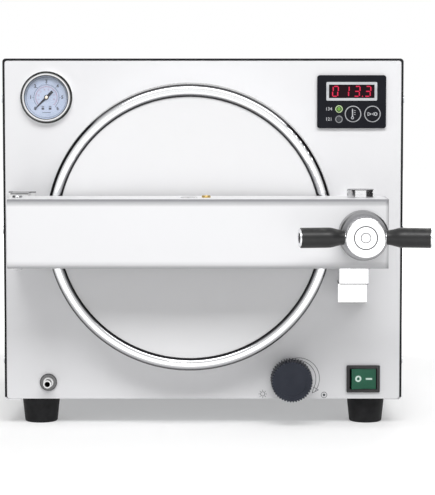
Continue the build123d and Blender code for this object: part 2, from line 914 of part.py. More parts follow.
keep(hinge_bracket, "hinge_bracket")

hinge_plane_top = Plane((hinge_x, ahead(hinge_front), beam_top + body_gap))
hinge_nut_bottom = beam_bottom - body_gap - hinge_nut_height
hinge_pin_bottom = hinge_nut_bottom + hinge_nut_cap
with BuildPart() as hinge_pin:
    with BuildSketch(Plane((hinge_x, ahead(hinge_front), hinge_pin_bottom))):
        Circle(hinge_pin_radius)
    extrude(amount=beam_top + body_gap - hinge_pin_bottom)
    with BuildSketch(hinge_plane_top):
        Circle(hinge_head_radius)
    extrude(amount=hinge_head_height)
    fillet(hinge_pin.faces().sort_by(Axis.Z)[-1].edges(), radius=hinge_head_round)

with BuildPart() as hinge_nut:
    with BuildSketch(Plane((hinge_x, ahead(hinge_front), hinge_nut_bottom))):
        Circle(hinge_nut_radius)
    extrude(amount=hinge_nut_height)
    fillet(hinge_nut.faces().sort_by(Axis.Z)[0].edges(), radius=hinge_nut_round)
    with BuildSketch(Plane((hinge_x, ahead(hinge_front), hinge_pin_bottom))):
        Circle(hinge_pin_radius)
    extrude(amount=hinge_nut_height, mode=Mode.SUBTRACT)
keep_group([hinge_pin, hinge_nut], "hinge_pin")

with BuildPart() as hinge_washers:
    for washer_bottom in (barrel_bottom - hinge_washer_thickness, barrel_top):
        with BuildSketch(Plane((hinge_x, ahead(hinge_front), washer_bottom))):
            Circle(hinge_washer_radius)
            Circle(hinge_pin_radius + running_gap, mode=Mode.SUBTRACT)
        extrude(amount=hinge_washer_thickness)
keep(hinge_washers, "hinge_washers")

# Keeper: polished block with the threaded bore that the clamp screw enters
with BuildPart() as latch_keeper:
    with BuildSketch(upright(ahead(0))):
        with Locations((keeper_x, (keeper_top + keeper_bottom) / 2)):
            Rectangle(keeper_width, keeper_top - keeper_bottom)
    extrude(amount=keeper_front)
    with BuildSketch(upright(ahead(0))):
        with Locations((keeper_x, (keeper_bottom + keeper_step_bottom) / 2)):
            Rectangle(keeper_width, keeper_bottom - keeper_step_bottom)
    extrude(amount=keeper_step_front)
    fillet(latch_keeper.edges().filter_by(Axis.Y), radius=0.8)
    with BuildSketch(upright(ahead(keeper_front))):
        with Locations((screw_x, screw_height)):
            Circle(keeper_bore_radius)
    extrude(amount=-(keeper_front - 4), mode=Mode.SUBTRACT)
    with BuildSketch(upright(ahead(keeper_front))):
        with Locations((screw_x, screw_height)):
            Circle(keeper_mouth_radius)
    extrude(amount=-keeper_mouth_depth, taper=45, mode=Mode.SUBTRACT)
    with BuildSketch(upright(ahead(0))):
        with Locations(*keeper_bolt_places):
            Circle(bolt_radius + bolt_clearance)
    extrude(amount=bolt_engagement + 1, mode=Mode.SUBTRACT)
keep(latch_keeper, "latch_keeper")

# Cross beam: folded sheet box, open at the back and at the hinge end
beam_front = beam_back + beam_depth
beam_solid = block((beam_left, beam_right), (ahead(beam_front), ahead(beam_back)), (beam_bottom, beam_top))
beam_space = block(
    (beam_left - 1, beam_right - beam_wall),
    (ahead(beam_front - beam_wall), ahead(beam_back - 1)),
    (beam_bottom + beam_wall, beam_top - beam_wall),
)
with BuildPart() as beam_hollow:
    add(beam_space.part)
    hollow_front = beam_hollow.faces().sort_by(Axis.Y)[0]
    fillet(hollow_front.edges().sort_by(Axis.X)[1:], radius=beam_bend - beam_wall)
with BuildPart() as cross_beam:
    add(beam_solid.part)
    beam_front_face = cross_beam.faces().sort_by(Axis.Y)[0]
    fillet(beam_front_face.edges().sort_by(Axis.X)[1:], radius=beam_bend)
    add(beam_hollow.part, mode=Mode.SUBTRACT)
    with BuildSketch(level(beam_bottom - 1)):
        with Locations((hinge_x, ahead(hinge_front))):
            Circle(hinge_pin_radius + running_gap)
        with Locations((chamber_x, ahead(hinge_front))):
            Circle(pivot_radius + running_gap)
        with Locations((screw_x, ahead(hinge_front))):
            Circle(trunnion_radius + running_gap)
    extrude(amount=beam_height + 2, mode=Mode.SUBTRACT)
    with BuildSketch(level(beam_top + 1)):
        with Locations((chamber_x + lock_screw_offset, ahead(hinge_front))):
            Circle(lock_screw_radius + fit_gap)
    extrude(amount=-(beam_wall + 2), mode=Mode.SUBTRACT)
    with BuildSketch(upright(ahead(beam_front - beam_wall - 1))):
        with Locations((screw_x, screw_height)):
            Circle(screw_radius + 1.5)
    extrude(amount=beam_wall + 2, mode=Mode.SUBTRACT)
keep(cross_beam, "cross_beam")

# Lid: pressed plate, gasket, polished rim and painted face
plate_front = lid_plate_back + lid_plate_thickness
lid_plate = turned(
    chamber_x,
    chamber_height,
    [
        (0, ahead(lid_plate_back)),
        (gasket_inner_radius - fit_gap, ahead(lid_plate_back)),
        (gasket_inner_radius - fit_gap, ahead(lid_plate_back + gasket_seat_depth)),
        (gasket_outer_radius + fit_gap, ahead(lid_plate_back + gasket_seat_depth)),
        (gasket_outer_radius + fit_gap, ahead(lid_plate_back)),
        (lid_radius - lid_skirt - fit_gap, ahead(lid_plate_back)),
        (lid_radius - lid_skirt - fit_gap, ahead(plate_front)),
        (0, ahead(plate_front)),
    ],
)
keep(lid_plate, "lid_plate")

lid_gasket = disc(
    chamber_x,
    chamber_height,
    ahead(lid_plate_back + gasket_seat_depth),
    ahead(flange_reach + body_gap),
    gasket_outer_radius,
    gasket_inner_radius,
)
keep(lid_gasket, "lid_gasket")

with BuildPart() as lid_rim:
    with BuildSketch(Plane((chamber_x, 0, chamber_height))):
        with BuildLine():
            FilletPolyline(
                (lid_rim_inner_radius, ahead(plate_front)),
                (lid_rim_inner_radius, ahead(lid_rim_front)),
                (lid_radius, ahead(lid_rim_front)),
                (lid_radius, ahead(lid_plate_back)),
                radius=lid_rim_round,
            )
            Polyline(
                (lid_radius, ahead(lid_plate_back)),
                (lid_radius - lid_skirt, ahead(lid_plate_back)),
                (lid_radius - lid_skirt, ahead(plate_front)),
                (lid_rim_inner_radius, ahead(plate_front)),
            )
        make_face()
    revolve(axis=Axis((chamber_x, 0, chamber_height), (0, 1, 0)))
keep(lid_rim, "lid_rim")

face_radius = lid_rim_inner_radius - fit_gap
face_bore = boss_radius + seat_gap
with BuildPart() as lid_face:
    with BuildSketch(Plane((chamber_x, 0, chamber_height))):
        with BuildLine():
            face_sag = (lid_face_edge_front + lid_face_centre_front) / 2 - 1
            outer_curve = ThreePointArc(
                (face_bore, ahead(lid_face_centre_front)),
                ((face_radius + face_bore) / 2, ahead(face_sag)),
                (face_radius, ahead(lid_face_edge_front)),
            )
            inner_curve = ThreePointArc(
                (face_bore, ahead(lid_face_centre_front - lid_face_sheet)),
                ((face_radius + face_bore) / 2, ahead(face_sag - lid_face_sheet)),
                (face_radius - lid_face_sheet, ahead(lid_face_edge_front - lid_face_sheet)),
            )
            Polyline(
                outer_curve @ 1,
                (face_radius, ahead(plate_front)),
                (face_radius - lid_face_sheet, ahead(plate_front)),
                inner_curve @ 1,
            )
            Line(outer_curve @ 0, inner_curve @ 0)
        make_face()
    revolve(axis=Axis((chamber_x, 0, chamber_height), (0, 1, 0)))
keep(lid_face, "lid_face")

with BuildPart() as lid_boss:
    with BuildSketch(upright(ahead(plate_front))):
        with Locations((chamber_x, chamber_height)):
            Circle(boss_flange_radius)
    extrude(amount=boss_flange_thickness)
    with BuildSketch(upright(ahead(plate_front))):
        with Locations((chamber_x, chamber_height)):
            Circle(boss_radius)
    extrude(amount=hinge_front - plate_front)
    with BuildSketch(upright(ahead(hinge_front - boss_eye_half_depth))):
        with Locations((chamber_x, beam_centre_height)):
            RectangleRounded(2 * boss_eye_half_width, 2 * boss_eye_half_height, 4)
    extrude(amount=2 * boss_eye_half_depth)
    with BuildSketch(level(beam_bottom)):
        with Locations((chamber_x, ahead(hinge_front))):
            Circle(pivot_radius + running_gap)
    extrude(amount=beam_height, mode=Mode.SUBTRACT)
    with BuildSketch(level(beam_top)):
        with Locations((chamber_x + lock_screw_offset, ahead(hinge_front))):
            Circle(lock_screw_radius + fit_gap)
    extrude(amount=-(lock_screw_depth + 3), mode=Mode.SUBTRACT)
keep(lid_boss, "lid_boss")

pivot_bottom = Plane((chamber_x, ahead(hinge_front), beam_bottom))
with BuildPart() as lid_pivot_pin:
    with BuildSketch(pivot_bottom):
        Circle(pivot_radius)
    extrude(amount=beam_height + pivot_cap_rise)
    chamfer(lid_pivot_pin.faces().sort_by(Axis.Z)[-1].edges(), length=0.4)
    with BuildSketch(pivot_bottom):
        Circle(pivot_tip_radius)
    extrude(amount=-pivot_tip_drop)
keep(lid_pivot_pin, "lid_pivot_pin")

lock_screw_plane = Plane((chamber_x + lock_screw_offset, ahead(hinge_front), beam_top))
with BuildPart() as pivot_lock_screw:
    with BuildSketch(lock_screw_plane):
        Circle(lock_screw_head_radius)
    extrude(amount=lock_screw_head_height)
    fillet(pivot_lock_screw.faces().sort_by(Axis.Z)[-1].edges(), radius=0.7)
    with BuildSketch(lock_screw_plane):
        Circle(lock_screw_radius)
    extrude(amount=-lock_screw_depth)
keep(pivot_lock_screw, "pivot_lock_screw")

# Trunnion nut: upright round bar through the beam, threaded across for the clamp screw
with BuildPart() as trunnion:
    with BuildSketch(Plane((screw_x, ahead(hinge_front), beam_bottom - trunnion_foot_drop))):
        Circle(trunnion_radius)
    extrude(amount=trunnion_top - beam_bottom + trunnion_foot_drop)
    with BuildSketch(Plane((screw_x, ahead(hinge_front), trunnion_top - trunnion_cap_height))):
        Circle(trunnion_radius)
        Circle(trunnion_radius - trunnion_groove, mode=Mode.SUBTRACT)
    extrude(amount=-trunnion_groove, mode=Mode.SUBTRACT)
    chamfer(trunnion.faces().sort_by(Axis.Z)[-1].edges(), length=0.6)
    with BuildSketch(upright(ahead(hinge_front - trunnion_radius - 1))):
        with Locations((screw_x, screw_height)):
            Circle(screw_radius + running_gap)
    extrude(amount=2 * trunnion_radius + 2, mode=Mode.SUBTRACT)
keep(trunnion, "trunnion")

# Thrust collar between the beam and the hub
collar_back = beam_front + body_gap
collar_front = collar_back + collar_length
with BuildPart() as thrust_collar:
    with BuildSketch(upright(ahead(collar_back))):
        with Locations((screw_x, screw_height)):
            Circle(collar_radius)
            Circle(screw_radius + running_gap, mode=Mode.SUBTRACT)
    extrude(amount=collar_length)
    chamfer(thrust_collar.edges().filter_by(GeomType.CIRCLE).sort_by(SortBy.RADIUS)[-2:], length=collar_chamfer)
keep(thrust_collar, "thrust_collar")

# Hub, clamp screw and the washer in the hub's face
hub_back = collar_front + body_gap
hub_front = hub_back + hub_length
with BuildPart() as handle_hub:
    with BuildSketch(upright(ahead(hub_back))):
        with Locations((screw_x, screw_height)):
            Circle(hub_radius)
    extrude(amount=hub_length)
    fillet(handle_hub.edges().filter_by(GeomType.CIRCLE), radius=hub_round)
    with BuildSketch(upright(ahead(hub_front))):
        with Locations((screw_x, screw_height)):
            Circle(hub_recess_radius)
    extrude(amount=-hub_recess_depth, mode=Mode.SUBTRACT)
    with BuildSketch(upright(ahead(hub_back))):
        with Locations((screw_x, screw_height)):
            Circle(screw_end_radius + fit_gap)
    extrude(amount=hub_length, mode=Mode.SUBTRACT)
    for side in (-1, 1):
        direction = Vector(
            side * math.cos(math.radians(arm_sweep_angle)), -math.sin(math.radians(arm_sweep_angle)), 0
        )
        arm_origin = Vector(screw_x, ahead(hub_back + arm_inset), screw_height)
        with BuildSketch(Plane(arm_origin + direction * rod_start, z_dir=direction)):
            Circle(rod_radius + running_gap)
        extrude(amount=hub_radius, mode=Mode.SUBTRACT)
keep(handle_hub, "handle_hub")

hub_washer = disc(
    screw_x,
    screw_height,
    ahead(hub_front - 0.3),
    ahead(hub_front - hub_recess_depth),
    hub_recess_radius - fit_gap,
    screw_end_radius + fit_gap,
)
keep(hub_washer, "hub_washer")

handle_screw = turned(
    screw_x,
    screw_height,
    [
        (0, ahead(screw_tip_front)),
        (screw_tip_radius, ahead(screw_tip_front)),
        (screw_radius, ahead(screw_tip_front + screw_taper_length)),
        (screw_radius, ahead(hub_back)),
        (screw_end_radius, ahead(hub_back)),
        (screw_end_radius, ahead(hub_front + 0.2)),
        (0, ahead(hub_front + 0.2)),
    ],
)
keep(handle_screw, "handle_screw")


def arm_plane(side, distance):
    """Plane square to a handle arm, this far out from the screw's axis."""
    sweep_angle = math.radians(arm_sweep_angle)
    direction = Vector(side * math.cos(sweep_angle), -math.sin(sweep_angle), 0)
    origin = Vector(screw_x, ahead(hub_back + arm_inset), screw_height)
    return Plane(origin + direction * distance, z_dir=direction)


with BuildPart() as handle_rods:
    for side in (-1, 1):
        with BuildSketch(arm_plane(side, rod_start)):
            Circle(rod_radius)
        extrude(amount=grip_end - rod_end_inset - rod_start)
keep(handle_rods, "handle_rods")


def arm_section(side):
    """Plane along a handle arm: first axis out along the arm, second axis up."""
    square = arm_plane(side, 0)
    return Plane(square.origin, x_dir=square.z_dir, z_dir=square.z_dir.cross(Vector(0, 0, 1)))


# Grips: a straight outer part that necks down smoothly towards the hub
with BuildPart() as handle_grips:
    for side in (-1, 1):
        with BuildSketch(arm_section(side)):
            with BuildLine():
                Line((grip_start, rod_radius + running_gap), (grip_start, grip_inner_end_radius))
                Spline(
                    (grip_start, grip_inner_end_radius),
                    (grip_shoulder, grip_outer_end_radius),
                    tangents=((1, 0), (1, 0)),
                )
                Line((grip_shoulder, grip_outer_end_radius), (grip_end - grip_edge_round, grip_outer_end_radius))
                RadiusArc(
                    (grip_end - grip_edge_round, grip_outer_end_radius),
                    (grip_end, grip_outer_end_radius - grip_edge_round),
                    grip_edge_round,
                )
                Line((grip_end, grip_outer_end_radius - grip_edge_round), (grip_end, rod_radius + running_gap))
                Line((grip_end, rod_radius + running_gap), (grip_start, rod_radius + running_gap))
            make_face()
        revolve(axis=Axis(arm_plane(side, 0).origin, arm_plane(side, 0).z_dir))
keep(handle_grips, "handle_grips")

with BuildPart() as grip_end_caps:
    for side in (-1, 1):
        with BuildSketch(arm_plane(side, grip_end)):
            Circle(end_ring_radius)
            Circle(end_ring_bore_radius, mode=Mode.SUBTRACT)
        extrude(amount=end_ring_thickness)
keep(grip_end_caps, "grip_end_caps")

# Pressure gauge
gauge_case = turned(
    gauge_x,
    gauge_height,
    [
        (0, ahead(-gauge_body_depth)),
        (gauge_body_radius, ahead(-gauge_body_depth)),
        (gauge_body_radius, ahead(bezel_depth - bezel_lip - fit_gap)),
        (gauge_body_radius - gauge_body_wall, ahead(bezel_depth - bezel_lip - fit_gap)),
        (gauge_body_radius - gauge_body_wall, ahead(gauge_body_wall - gauge_body_depth)),
        (0, ahead(gauge_body_wall - gauge_body_depth)),
    ],
)
keep(gauge_case, "gauge_case")

gauge_bezel = turned(
    gauge_x,
    gauge_height,
    [
        (gauge_body_radius + fit_gap, ahead(0)),
        (bezel_radius, ahead(0)),
        (bezel_radius, ahead(bezel_depth - bezel_slope_length)),
        (bezel_radius - bezel_slope_width, ahead(bezel_depth)),
        (bezel_opening_radius, ahead(bezel_depth)),
        (bezel_opening_radius, ahead(bezel_depth - bezel_lip)),
        (gauge_body_radius + fit_gap, ahead(bezel_depth - bezel_lip)),
    ],
)
keep(gauge_bezel, "gauge_bezel")

glass_front = bezel_depth - bezel_lip
gauge_inside = gauge_body_radius - gauge_body_wall - running_gap
gauge_glass = disc(gauge_x, gauge_height, ahead(glass_front), ahead(glass_front - glass_thickness), gauge_inside)
keep(gauge_glass, "gauge_glass")

with BuildPart() as gauge_dial:
    with BuildSketch(upright(ahead(dial_front - dial_thickness))):
        with Locations((gauge_x, gauge_height)):
            Circle(gauge_inside)
    extrude(amount=dial_thickness)
    with BuildSketch(upright(ahead(dial_front - dial_thickness))):
        with Locations((gauge_x, gauge_height)):
            Circle(spindle_radius)
    extrude(amount=dial_thickness + body_gap + needle_thickness)
    with BuildSketch(upright(ahead(gauge_body_wall - gauge_body_depth))):
        with Locations((gauge_x, gauge_height)):
            Circle(gauge_stem_radius)
    extrude(amount=gauge_body_depth - gauge_body_wall + dial_front - dial_thickness)
keep(gauge_dial, "gauge_dial")

needle_turn = math.radians(needle_zero_angle)
needle_plane = Plane(
    (gauge_x, ahead(dial_front + body_gap), gauge_height),
    x_dir=(math.cos(needle_turn), 0, math.sin(needle_turn)),
    z_dir=(0, -1, 0),
)
with BuildPart() as gauge_needle:
    with BuildSketch(needle_plane):
        with BuildLine():
            Polyline(
                (-needle_tail_length, -needle_tail_half_width),
                (0, -needle_root_half_width),
                (needle_tip_length, -needle_tip_half_width),
                (needle_tip_length, needle_tip_half_width),
                (0, needle_root_half_width),
                (-needle_tail_length, needle_tail_half_width),
                close=True,
            )
        make_face()
        Circle(needle_hub_radius)
        Circle(spindle_radius + running_gap, mode=Mode.SUBTRACT)
    extrude(amount=needle_thickness)
keep(gauge_needle, "gauge_needle")

gauge_stem_back = ahead(-gauge_body_depth - gauge_stem_length)
pipe_top_x = gauge_x + gauge_pipe_side_step
pipe_end_rise = jacket_half_chord(pipe_top_x, gauge_stem_radius)
gauge_tube = pipe(
    [
        (gauge_x, gauge_stem_back - 1, gauge_height),
        (gauge_x, gauge_stem_back + gauge_pipe_run, gauge_height),
        (pipe_top_x, gauge_stem_back + gauge_pipe_run, gauge_height),
    ],
    pipe_bend,
    gauge_pipe_radius,
)
with BuildPart() as gauge_pipe:
    add(disc(gauge_x, gauge_height, ahead(-gauge_body_depth), gauge_stem_back, gauge_stem_radius).part)
    add(gauge_tube.part)
    with BuildSketch(level(gauge_height + gauge_stem_radius)):
        with Locations((pipe_top_x, gauge_stem_back + gauge_pipe_run)):
            Circle(gauge_stem_radius)
    extrude(amount=chamber_height + pipe_end_rise + body_gap - gauge_height - gauge_stem_radius)

# Control fascia with its window, lamps and buttons
button_places = [(temperature_button_x, button_height), (start_button_x, button_height)]
lamp_places = [(lamp_x, z) for z in lamp_heights]
window_width = frame_width - 2 * frame_border
window_tall = frame_tall - 2 * frame_border
frame_x = fascia_x
with BuildPart() as control_fascia:
    with BuildSketch(upright(ahead(0))):
        with Locations((fascia_x, fascia_height)):
            RectangleRounded(fascia_width, fascia_tall, fascia_corner)
        with Locations((frame_x, frame_height)):
            Rectangle(window_width, window_tall, mode=Mode.SUBTRACT)
        with Locations(*button_places):
            Circle(button_radius + body_gap, mode=Mode.SUBTRACT)
        with Locations(*lamp_places):
            Circle(lamp_radius + fit_gap, mode=Mode.SUBTRACT)
    extrude(amount=fascia_thickness)
keep(control_fascia, "control_fascia")

with BuildPart() as display_frame:
    with BuildSketch(upright(ahead(fascia_thickness))):
        with Locations((frame_x, frame_height)):
            RectangleRounded(frame_width, frame_tall, 1.2)
            Rectangle(window_width, window_tall, mode=Mode.SUBTRACT)
    extrude(amount=frame_rise)
keep(display_frame, "display_frame")

window_face = fascia_thickness - window_recess + frame_rise
window_back_y = ahead(0)
with BuildPart() as display_window:
    with BuildSketch(upright(window_back_y)):
        with Locations((frame_x, frame_height)):
            Rectangle(window_width - 2 * fit_gap, window_tall - 2 * fit_gap)
    extrude(amount=window_face)
keep(display_window, "display_window")

# Which of the seven strokes light for each figure: top, upper right, lower right, bottom,
# lower left, upper left, middle
lit_strokes = {"0": "111111.", "1": ".11....", "3": "1111..1"}
stroke_places = (
    (0, 1, True),
    (1, 0.5, False),
    (1, -0.5, False),
    (0, -1, True),
    (-1, -0.5, False),
    (-1, 0.5, False),
    (0, 0, True),
)
reading = "0133"
with BuildPart() as display_digits:
    half_tall = (digit_tall - digit_stroke) / 2
    half_wide = (digit_wide - digit_stroke) / 2
    with BuildSketch(upright(ahead(window_face))):
        for place, figure in enumerate(reading):
            figure_x = frame_x + (place - (len(reading) - 1) / 2) * digit_pitch
            for stroke, lit in zip(stroke_places, lit_strokes[figure]):
                if lit != "1":
                    continue
                across, up, flat = stroke
                stroke_x = figure_x + across * half_wide + up * digit_slant
                with Locations((stroke_x, frame_height + up * half_tall)):
                    if flat:
                        Rectangle(2 * half_wide - digit_stroke - 0.2, digit_stroke)
                    else:
                        Rectangle(digit_stroke, half_tall - digit_stroke / 2 - 0.2)
        point_x = frame_x + 1.5 * digit_pitch - digit_pitch / 2
        with Locations((point_x, frame_height - half_tall)):
            Circle(digit_stroke / 2)
    extrude(amount=digit_rise)
keep(display_digits, "display_digits")

with BuildPart() as indicator_lamps:
    with BuildSketch(upright(ahead(0))):
        with Locations(*lamp_places):
            Circle(lamp_radius)
    extrude(amount=fascia_thickness + lamp_rise)
    fillet(indicator_lamps.faces().sort_by(Axis.Y)[:2].edges(), radius=lamp_rise)
keep(indicator_lamps, "indicator_lamps")


def push_button(x):
    """Round button with a captive flange behind the fascia and a stem for its switch."""
    with BuildPart() as piece:
        with BuildSketch(upright(ahead(-body_gap))):
            with Locations((x, button_height)):
                Circle(button_radius)
        extrude(amount=body_gap + fascia_thickness + button_rise)
        fillet(piece.faces().sort_by(Axis.Y)[0].edges(), radius=0.5)
        with BuildSketch(upright(ahead(-body_gap))):
            with Locations((x, button_height)):
                Circle(button_flange_radius)
        extrude(amount=-button_flange_thickness)
        with BuildSketch(upright(ahead(-body_gap - button_flange_thickness))):
            with Locations((x, button_height)):
                Circle(button_stem_radius)
        extrude(amount=-button_stem_length)
    return piece


temperature_button = push_button(temperature_button_x)
keep(temperature_button, "temperature_button")
start_button = push_button(start_button_x)
keep(start_button, "start_button")

# Control board on posts behind the fascia, with the display block, lamps' bases and key switches
board_width = fascia_width - 2 * fascia_border - 2
board_tall = fascia_tall - 2 * fascia_border - 2
switch_top = body_gap + button_flange_thickness + button_stem_length + button_travel + fit_gap
post_x = board_width / 2 - board_post_radius
post_z = board_tall / 2 - board_post_radius
with BuildPart() as control_board:
    with BuildSketch(upright(ahead(board_front))):
        with Locations((fascia_x, fascia_height)):
            Rectangle(board_width, board_tall)
    extrude(amount=-board_thickness)
    with BuildSketch(upright(ahead(board_front))):
        with Locations((fascia_x - post_x, fascia_height - post_z), (fascia_x + post_x, fascia_height + post_z)):
            Circle(board_post_radius)
        with Locations((frame_x, frame_height)):
            Rectangle(window_width - 2, window_tall - 1)
        with Locations(*lamp_places):
            Circle(lamp_radius - 0.4)
    extrude(amount=-board_front)
    with BuildSketch(upright(ahead(board_front))):
        with Locations(*button_places):
            Rectangle(6, 6)
    extrude(amount=-board_front - switch_top)
keep(control_board, "control_board")

# Exhaust knob on its stem, with pointed teeth round its edge
tooth_gap_half_width = math.pi * knob_radius / knob_tooth_count - knob_tooth_land / 2
with BuildPart() as exhaust_knob:
    with BuildSketch(upright(ahead(knob_back))):
        with Locations((knob_x, knob_height)):
            Circle(knob_radius)
    extrude(amount=knob_front - knob_back, taper=knob_draft)
    fillet(exhaust_knob.faces().sort_by(Axis.Y)[0].edges(), radius=knob_face_round)
    with BuildSketch(upright(ahead(knob_back))):
        with Locations((knob_x, knob_height)):
            with PolarLocations(knob_radius, knob_tooth_count):
                Polygon(
                    (-knob_tooth_depth, 0),
                    (knob_tooth_depth, 2 * tooth_gap_half_width),
                    (knob_tooth_depth, -2 * tooth_gap_half_width),
                    align=None,
                )
    extrude(amount=knob_front - knob_back, mode=Mode.SUBTRACT)
    with BuildSketch(upright(ahead(knob_front))):
        with Locations((knob_x, knob_height)):
            Circle(knob_dish_radius)
    extrude(amount=-knob_dish_depth, mode=Mode.SUBTRACT)
    with BuildSketch(upright(ahead(knob_back))):
        with Locations((knob_x, knob_height)):
            Circle(stem_radius + running_gap)
    extrude(amount=knob_front / 2, mode=Mode.SUBTRACT)
keep(exhaust_knob, "exhaust_knob")

valve_front = -panel_sheet - 6
valve_stem = disc(
    knob_x,
    knob_height,
    ahead(knob_back + knob_front / 2 - 1),
    ahead(valve_front - valve_depth / 2),
    stem_radius,
)
keep(valve_stem, "valve_stem")

with BuildPart() as exhaust_valve_body:
    with BuildSketch(upright(ahead(valve_front))):
        with Locations((knob_x, knob_height)):
            RectangleRounded(valve_width, valve_tall, 3)
    extrude(amount=-valve_depth)
    with BuildSketch(upright(ahead(valve_front))):
        with Locations((knob_x, knob_height)):
            Circle(valve_bonnet_radius)
    extrude(amount=-valve_front)
    with BuildSketch(upright(ahead(0))):
        with Locations((knob_x, knob_height)):
            Circle(valve_nut_radius)
    extrude(amount=valve_nut_thickness)
    with BuildSketch(upright(ahead(valve_nut_thickness))):
        with Locations((knob_x, knob_height)):
            Circle(stem_radius + running_gap)
    extrude(amount=-(valve_nut_thickness - valve_front + valve_depth / 2 + 1), mode=Mode.SUBTRACT)
keep(exhaust_valve_body, "exhaust_valve_body")

valve_back = ahead(valve_front - valve_depth)
exhaust_rise = jacket_half_chord(knob_x, exhaust_pipe_radius)
exhaust_pipe = pipe(
    [
        (knob_x, valve_back, knob_height),
        (knob_x, valve_back + exhaust_pipe_run, knob_height),
        (knob_x, valve_back + exhaust_pipe_run, chamber_height - exhaust_rise - body_gap),
    ],
    pipe_bend,
    exhaust_pipe_radius,
    exhaust_pipe_radius - 1,
)

# Drain nipple and the pipe behind it
with BuildPart() as drain_fitting:
    with BuildSketch(upright(ahead(0))):
        with Locations((drain_x, drain_height)):
            Circle(drain_flange_radius)
    extrude(amount=drain_flange_thickness)
    chamfer(drain_fitting.faces().sort_by(Axis.Y)[0].edges(), length=0.6)
    with BuildSketch(upright(ahead(-drain_inner_reach))):
        with Locations((drain_x, drain_height)):
            Circle(drain_tube_radius)
    extrude(amount=drain_inner_reach + drain_tube_reach)
    with BuildSketch(upright(ahead(-drain_inner_reach))):
        with Locations((drain_x, drain_height)):
            Circle(drain_bore_radius)
    extrude(amount=drain_inner_reach + drain_tube_reach, mode=Mode.SUBTRACT)
    with BuildSketch(upright(ahead(-panel_sheet - 5))):
        with Locations((drain_x, drain_height)):
            RegularPolygon(drain_flange_radius, 6)
            Circle(drain_tube_radius, mode=Mode.SUBTRACT)
    extrude(amount=5)
keep(drain_fitting, "drain_fitting")

drain_end_x = drain_x + drain_pipe_side_step
drain_rise = jacket_half_chord(drain_end_x, drain_pipe_radius)
drain_start = ahead(-drain_inner_reach)
drain_pipe = pipe(
    [
        (drain_x, drain_start, drain_height),
        (drain_x, drain_start + drain_pipe_run, drain_height),
        (drain_end_x, drain_start + drain_pipe_run, drain_height),
        (drain_end_x, drain_start + drain_pipe_run, chamber_height - drain_rise - body_gap),
    ],
    pipe_bend,
    drain_pipe_radius,
    drain_bore_radius,
)
keep_group([gauge_pipe, exhaust_pipe, drain_pipe], "inner_pipes")

# Power switch housing and its rocker
pocket_half_width = math.hypot(rocker_half_width, rocker_depth) + rocker_pocket_gap
pocket_half_tall = rocker_tall / 2 + rocker_pocket_gap
with BuildPart() as switch_housing:
    with BuildSketch(upright(ahead(0))):
        with Locations((switch_x, switch_height)):
            RectangleRounded(switch_width, switch_tall, 1.0)
    extrude(amount=switch_rise)
    with BuildSketch(upright(ahead(0))):
        with Locations((switch_x, switch_height)):
            Rectangle(
                switch_width - 2 * switch_wall - 2 * fit_gap,
                switch_tall - 2 * switch_wall - 2 * fit_gap,
            )
    extrude(amount=-switch_body_depth)
    with BuildSketch(upright(ahead(switch_rise))):
        with Locations((switch_x, switch_height)):
            Rectangle(2 * pocket_half_width, 2 * pocket_half_tall)
    extrude(amount=-switch_rise - switch_pocket_depth, mode=Mode.SUBTRACT)
    with BuildSketch(level(switch_height - pocket_half_tall - rocker_pin_length)):
        with Locations((switch_x, ahead(rocker_pivot_front))):
            Circle(rocker_pin_radius + running_gap)
    extrude(amount=2 * (pocket_half_tall + rocker_pin_length), mode=Mode.SUBTRACT)
keep(switch_housing, "switch_housing")

with BuildPart() as power_rocker:
    rocker_turn = math.radians(rocker_angle)
    rocker_plane = Plane(
        (switch_x, ahead(rocker_pivot_front), switch_height - rocker_tall / 2),
        x_dir=(math.cos(rocker_turn), math.sin(rocker_turn), 0),
        z_dir=(0, 0, 1),
    )
    with BuildSketch(rocker_plane):
        with BuildLine():
            Polyline(
                (-rocker_half_width, -rocker_edge_rise),
                (0, -rocker_middle_rise),
                (rocker_half_width, -rocker_edge_rise),
                (rocker_half_width, 0),
                (0, rocker_depth),
                (-rocker_half_width, 0),
                close=True,
            )
        make_face()
    extrude(amount=rocker_tall)
    with BuildSketch(level(switch_height - rocker_tall / 2 - rocker_pin_length)):
        with Locations((switch_x, ahead(rocker_pivot_front))):
            Circle(rocker_pin_radius)
    extrude(amount=rocker_tall + 2 * rocker_pin_length)
keep(power_rocker, "power_rocker")

# Mains inlet, fuse holders and safety valve on the rear
with BuildPart() as power_inlet:
    with BuildSketch(upright(rear_face)):
        with Locations((inlet_x, inlet_height)):
            RectangleRounded(inlet_width, inlet_tall, 2)
    extrude(amount=-inlet_rise)
    with BuildSketch(upright(rear_face)):
        with Locations((inlet_x, inlet_height)):
            Rectangle(
                inlet_width - 2 * switch_wall - 2 * fit_gap,
                inlet_tall - 2 * switch_wall - 2 * fit_gap,
            )
    extrude(amount=inlet_body_depth)
    with BuildSketch(upright(rear_face + inlet_rise)):
        with Locations((inlet_x, inlet_height)):
            Rectangle(inlet_socket_width, inlet_socket_tall)
    extrude(amount=inlet_socket_depth, mode=Mode.SUBTRACT)
    with BuildSketch(upright(rear_face + inlet_rise - inlet_socket_depth)):
        with Locations((inlet_x - inlet_pin_pitch, inlet_height - 2), (inlet_x + inlet_pin_pitch, inlet_height - 2)):
            Rectangle(inlet_pin_width, inlet_pin_tall)
        with Locations((inlet_x, inlet_height + 2)):
            Rectangle(inlet_pin_width, inlet_pin_tall)
    extrude(amount=-inlet_pin_length)
keep(power_inlet, "power_inlet")

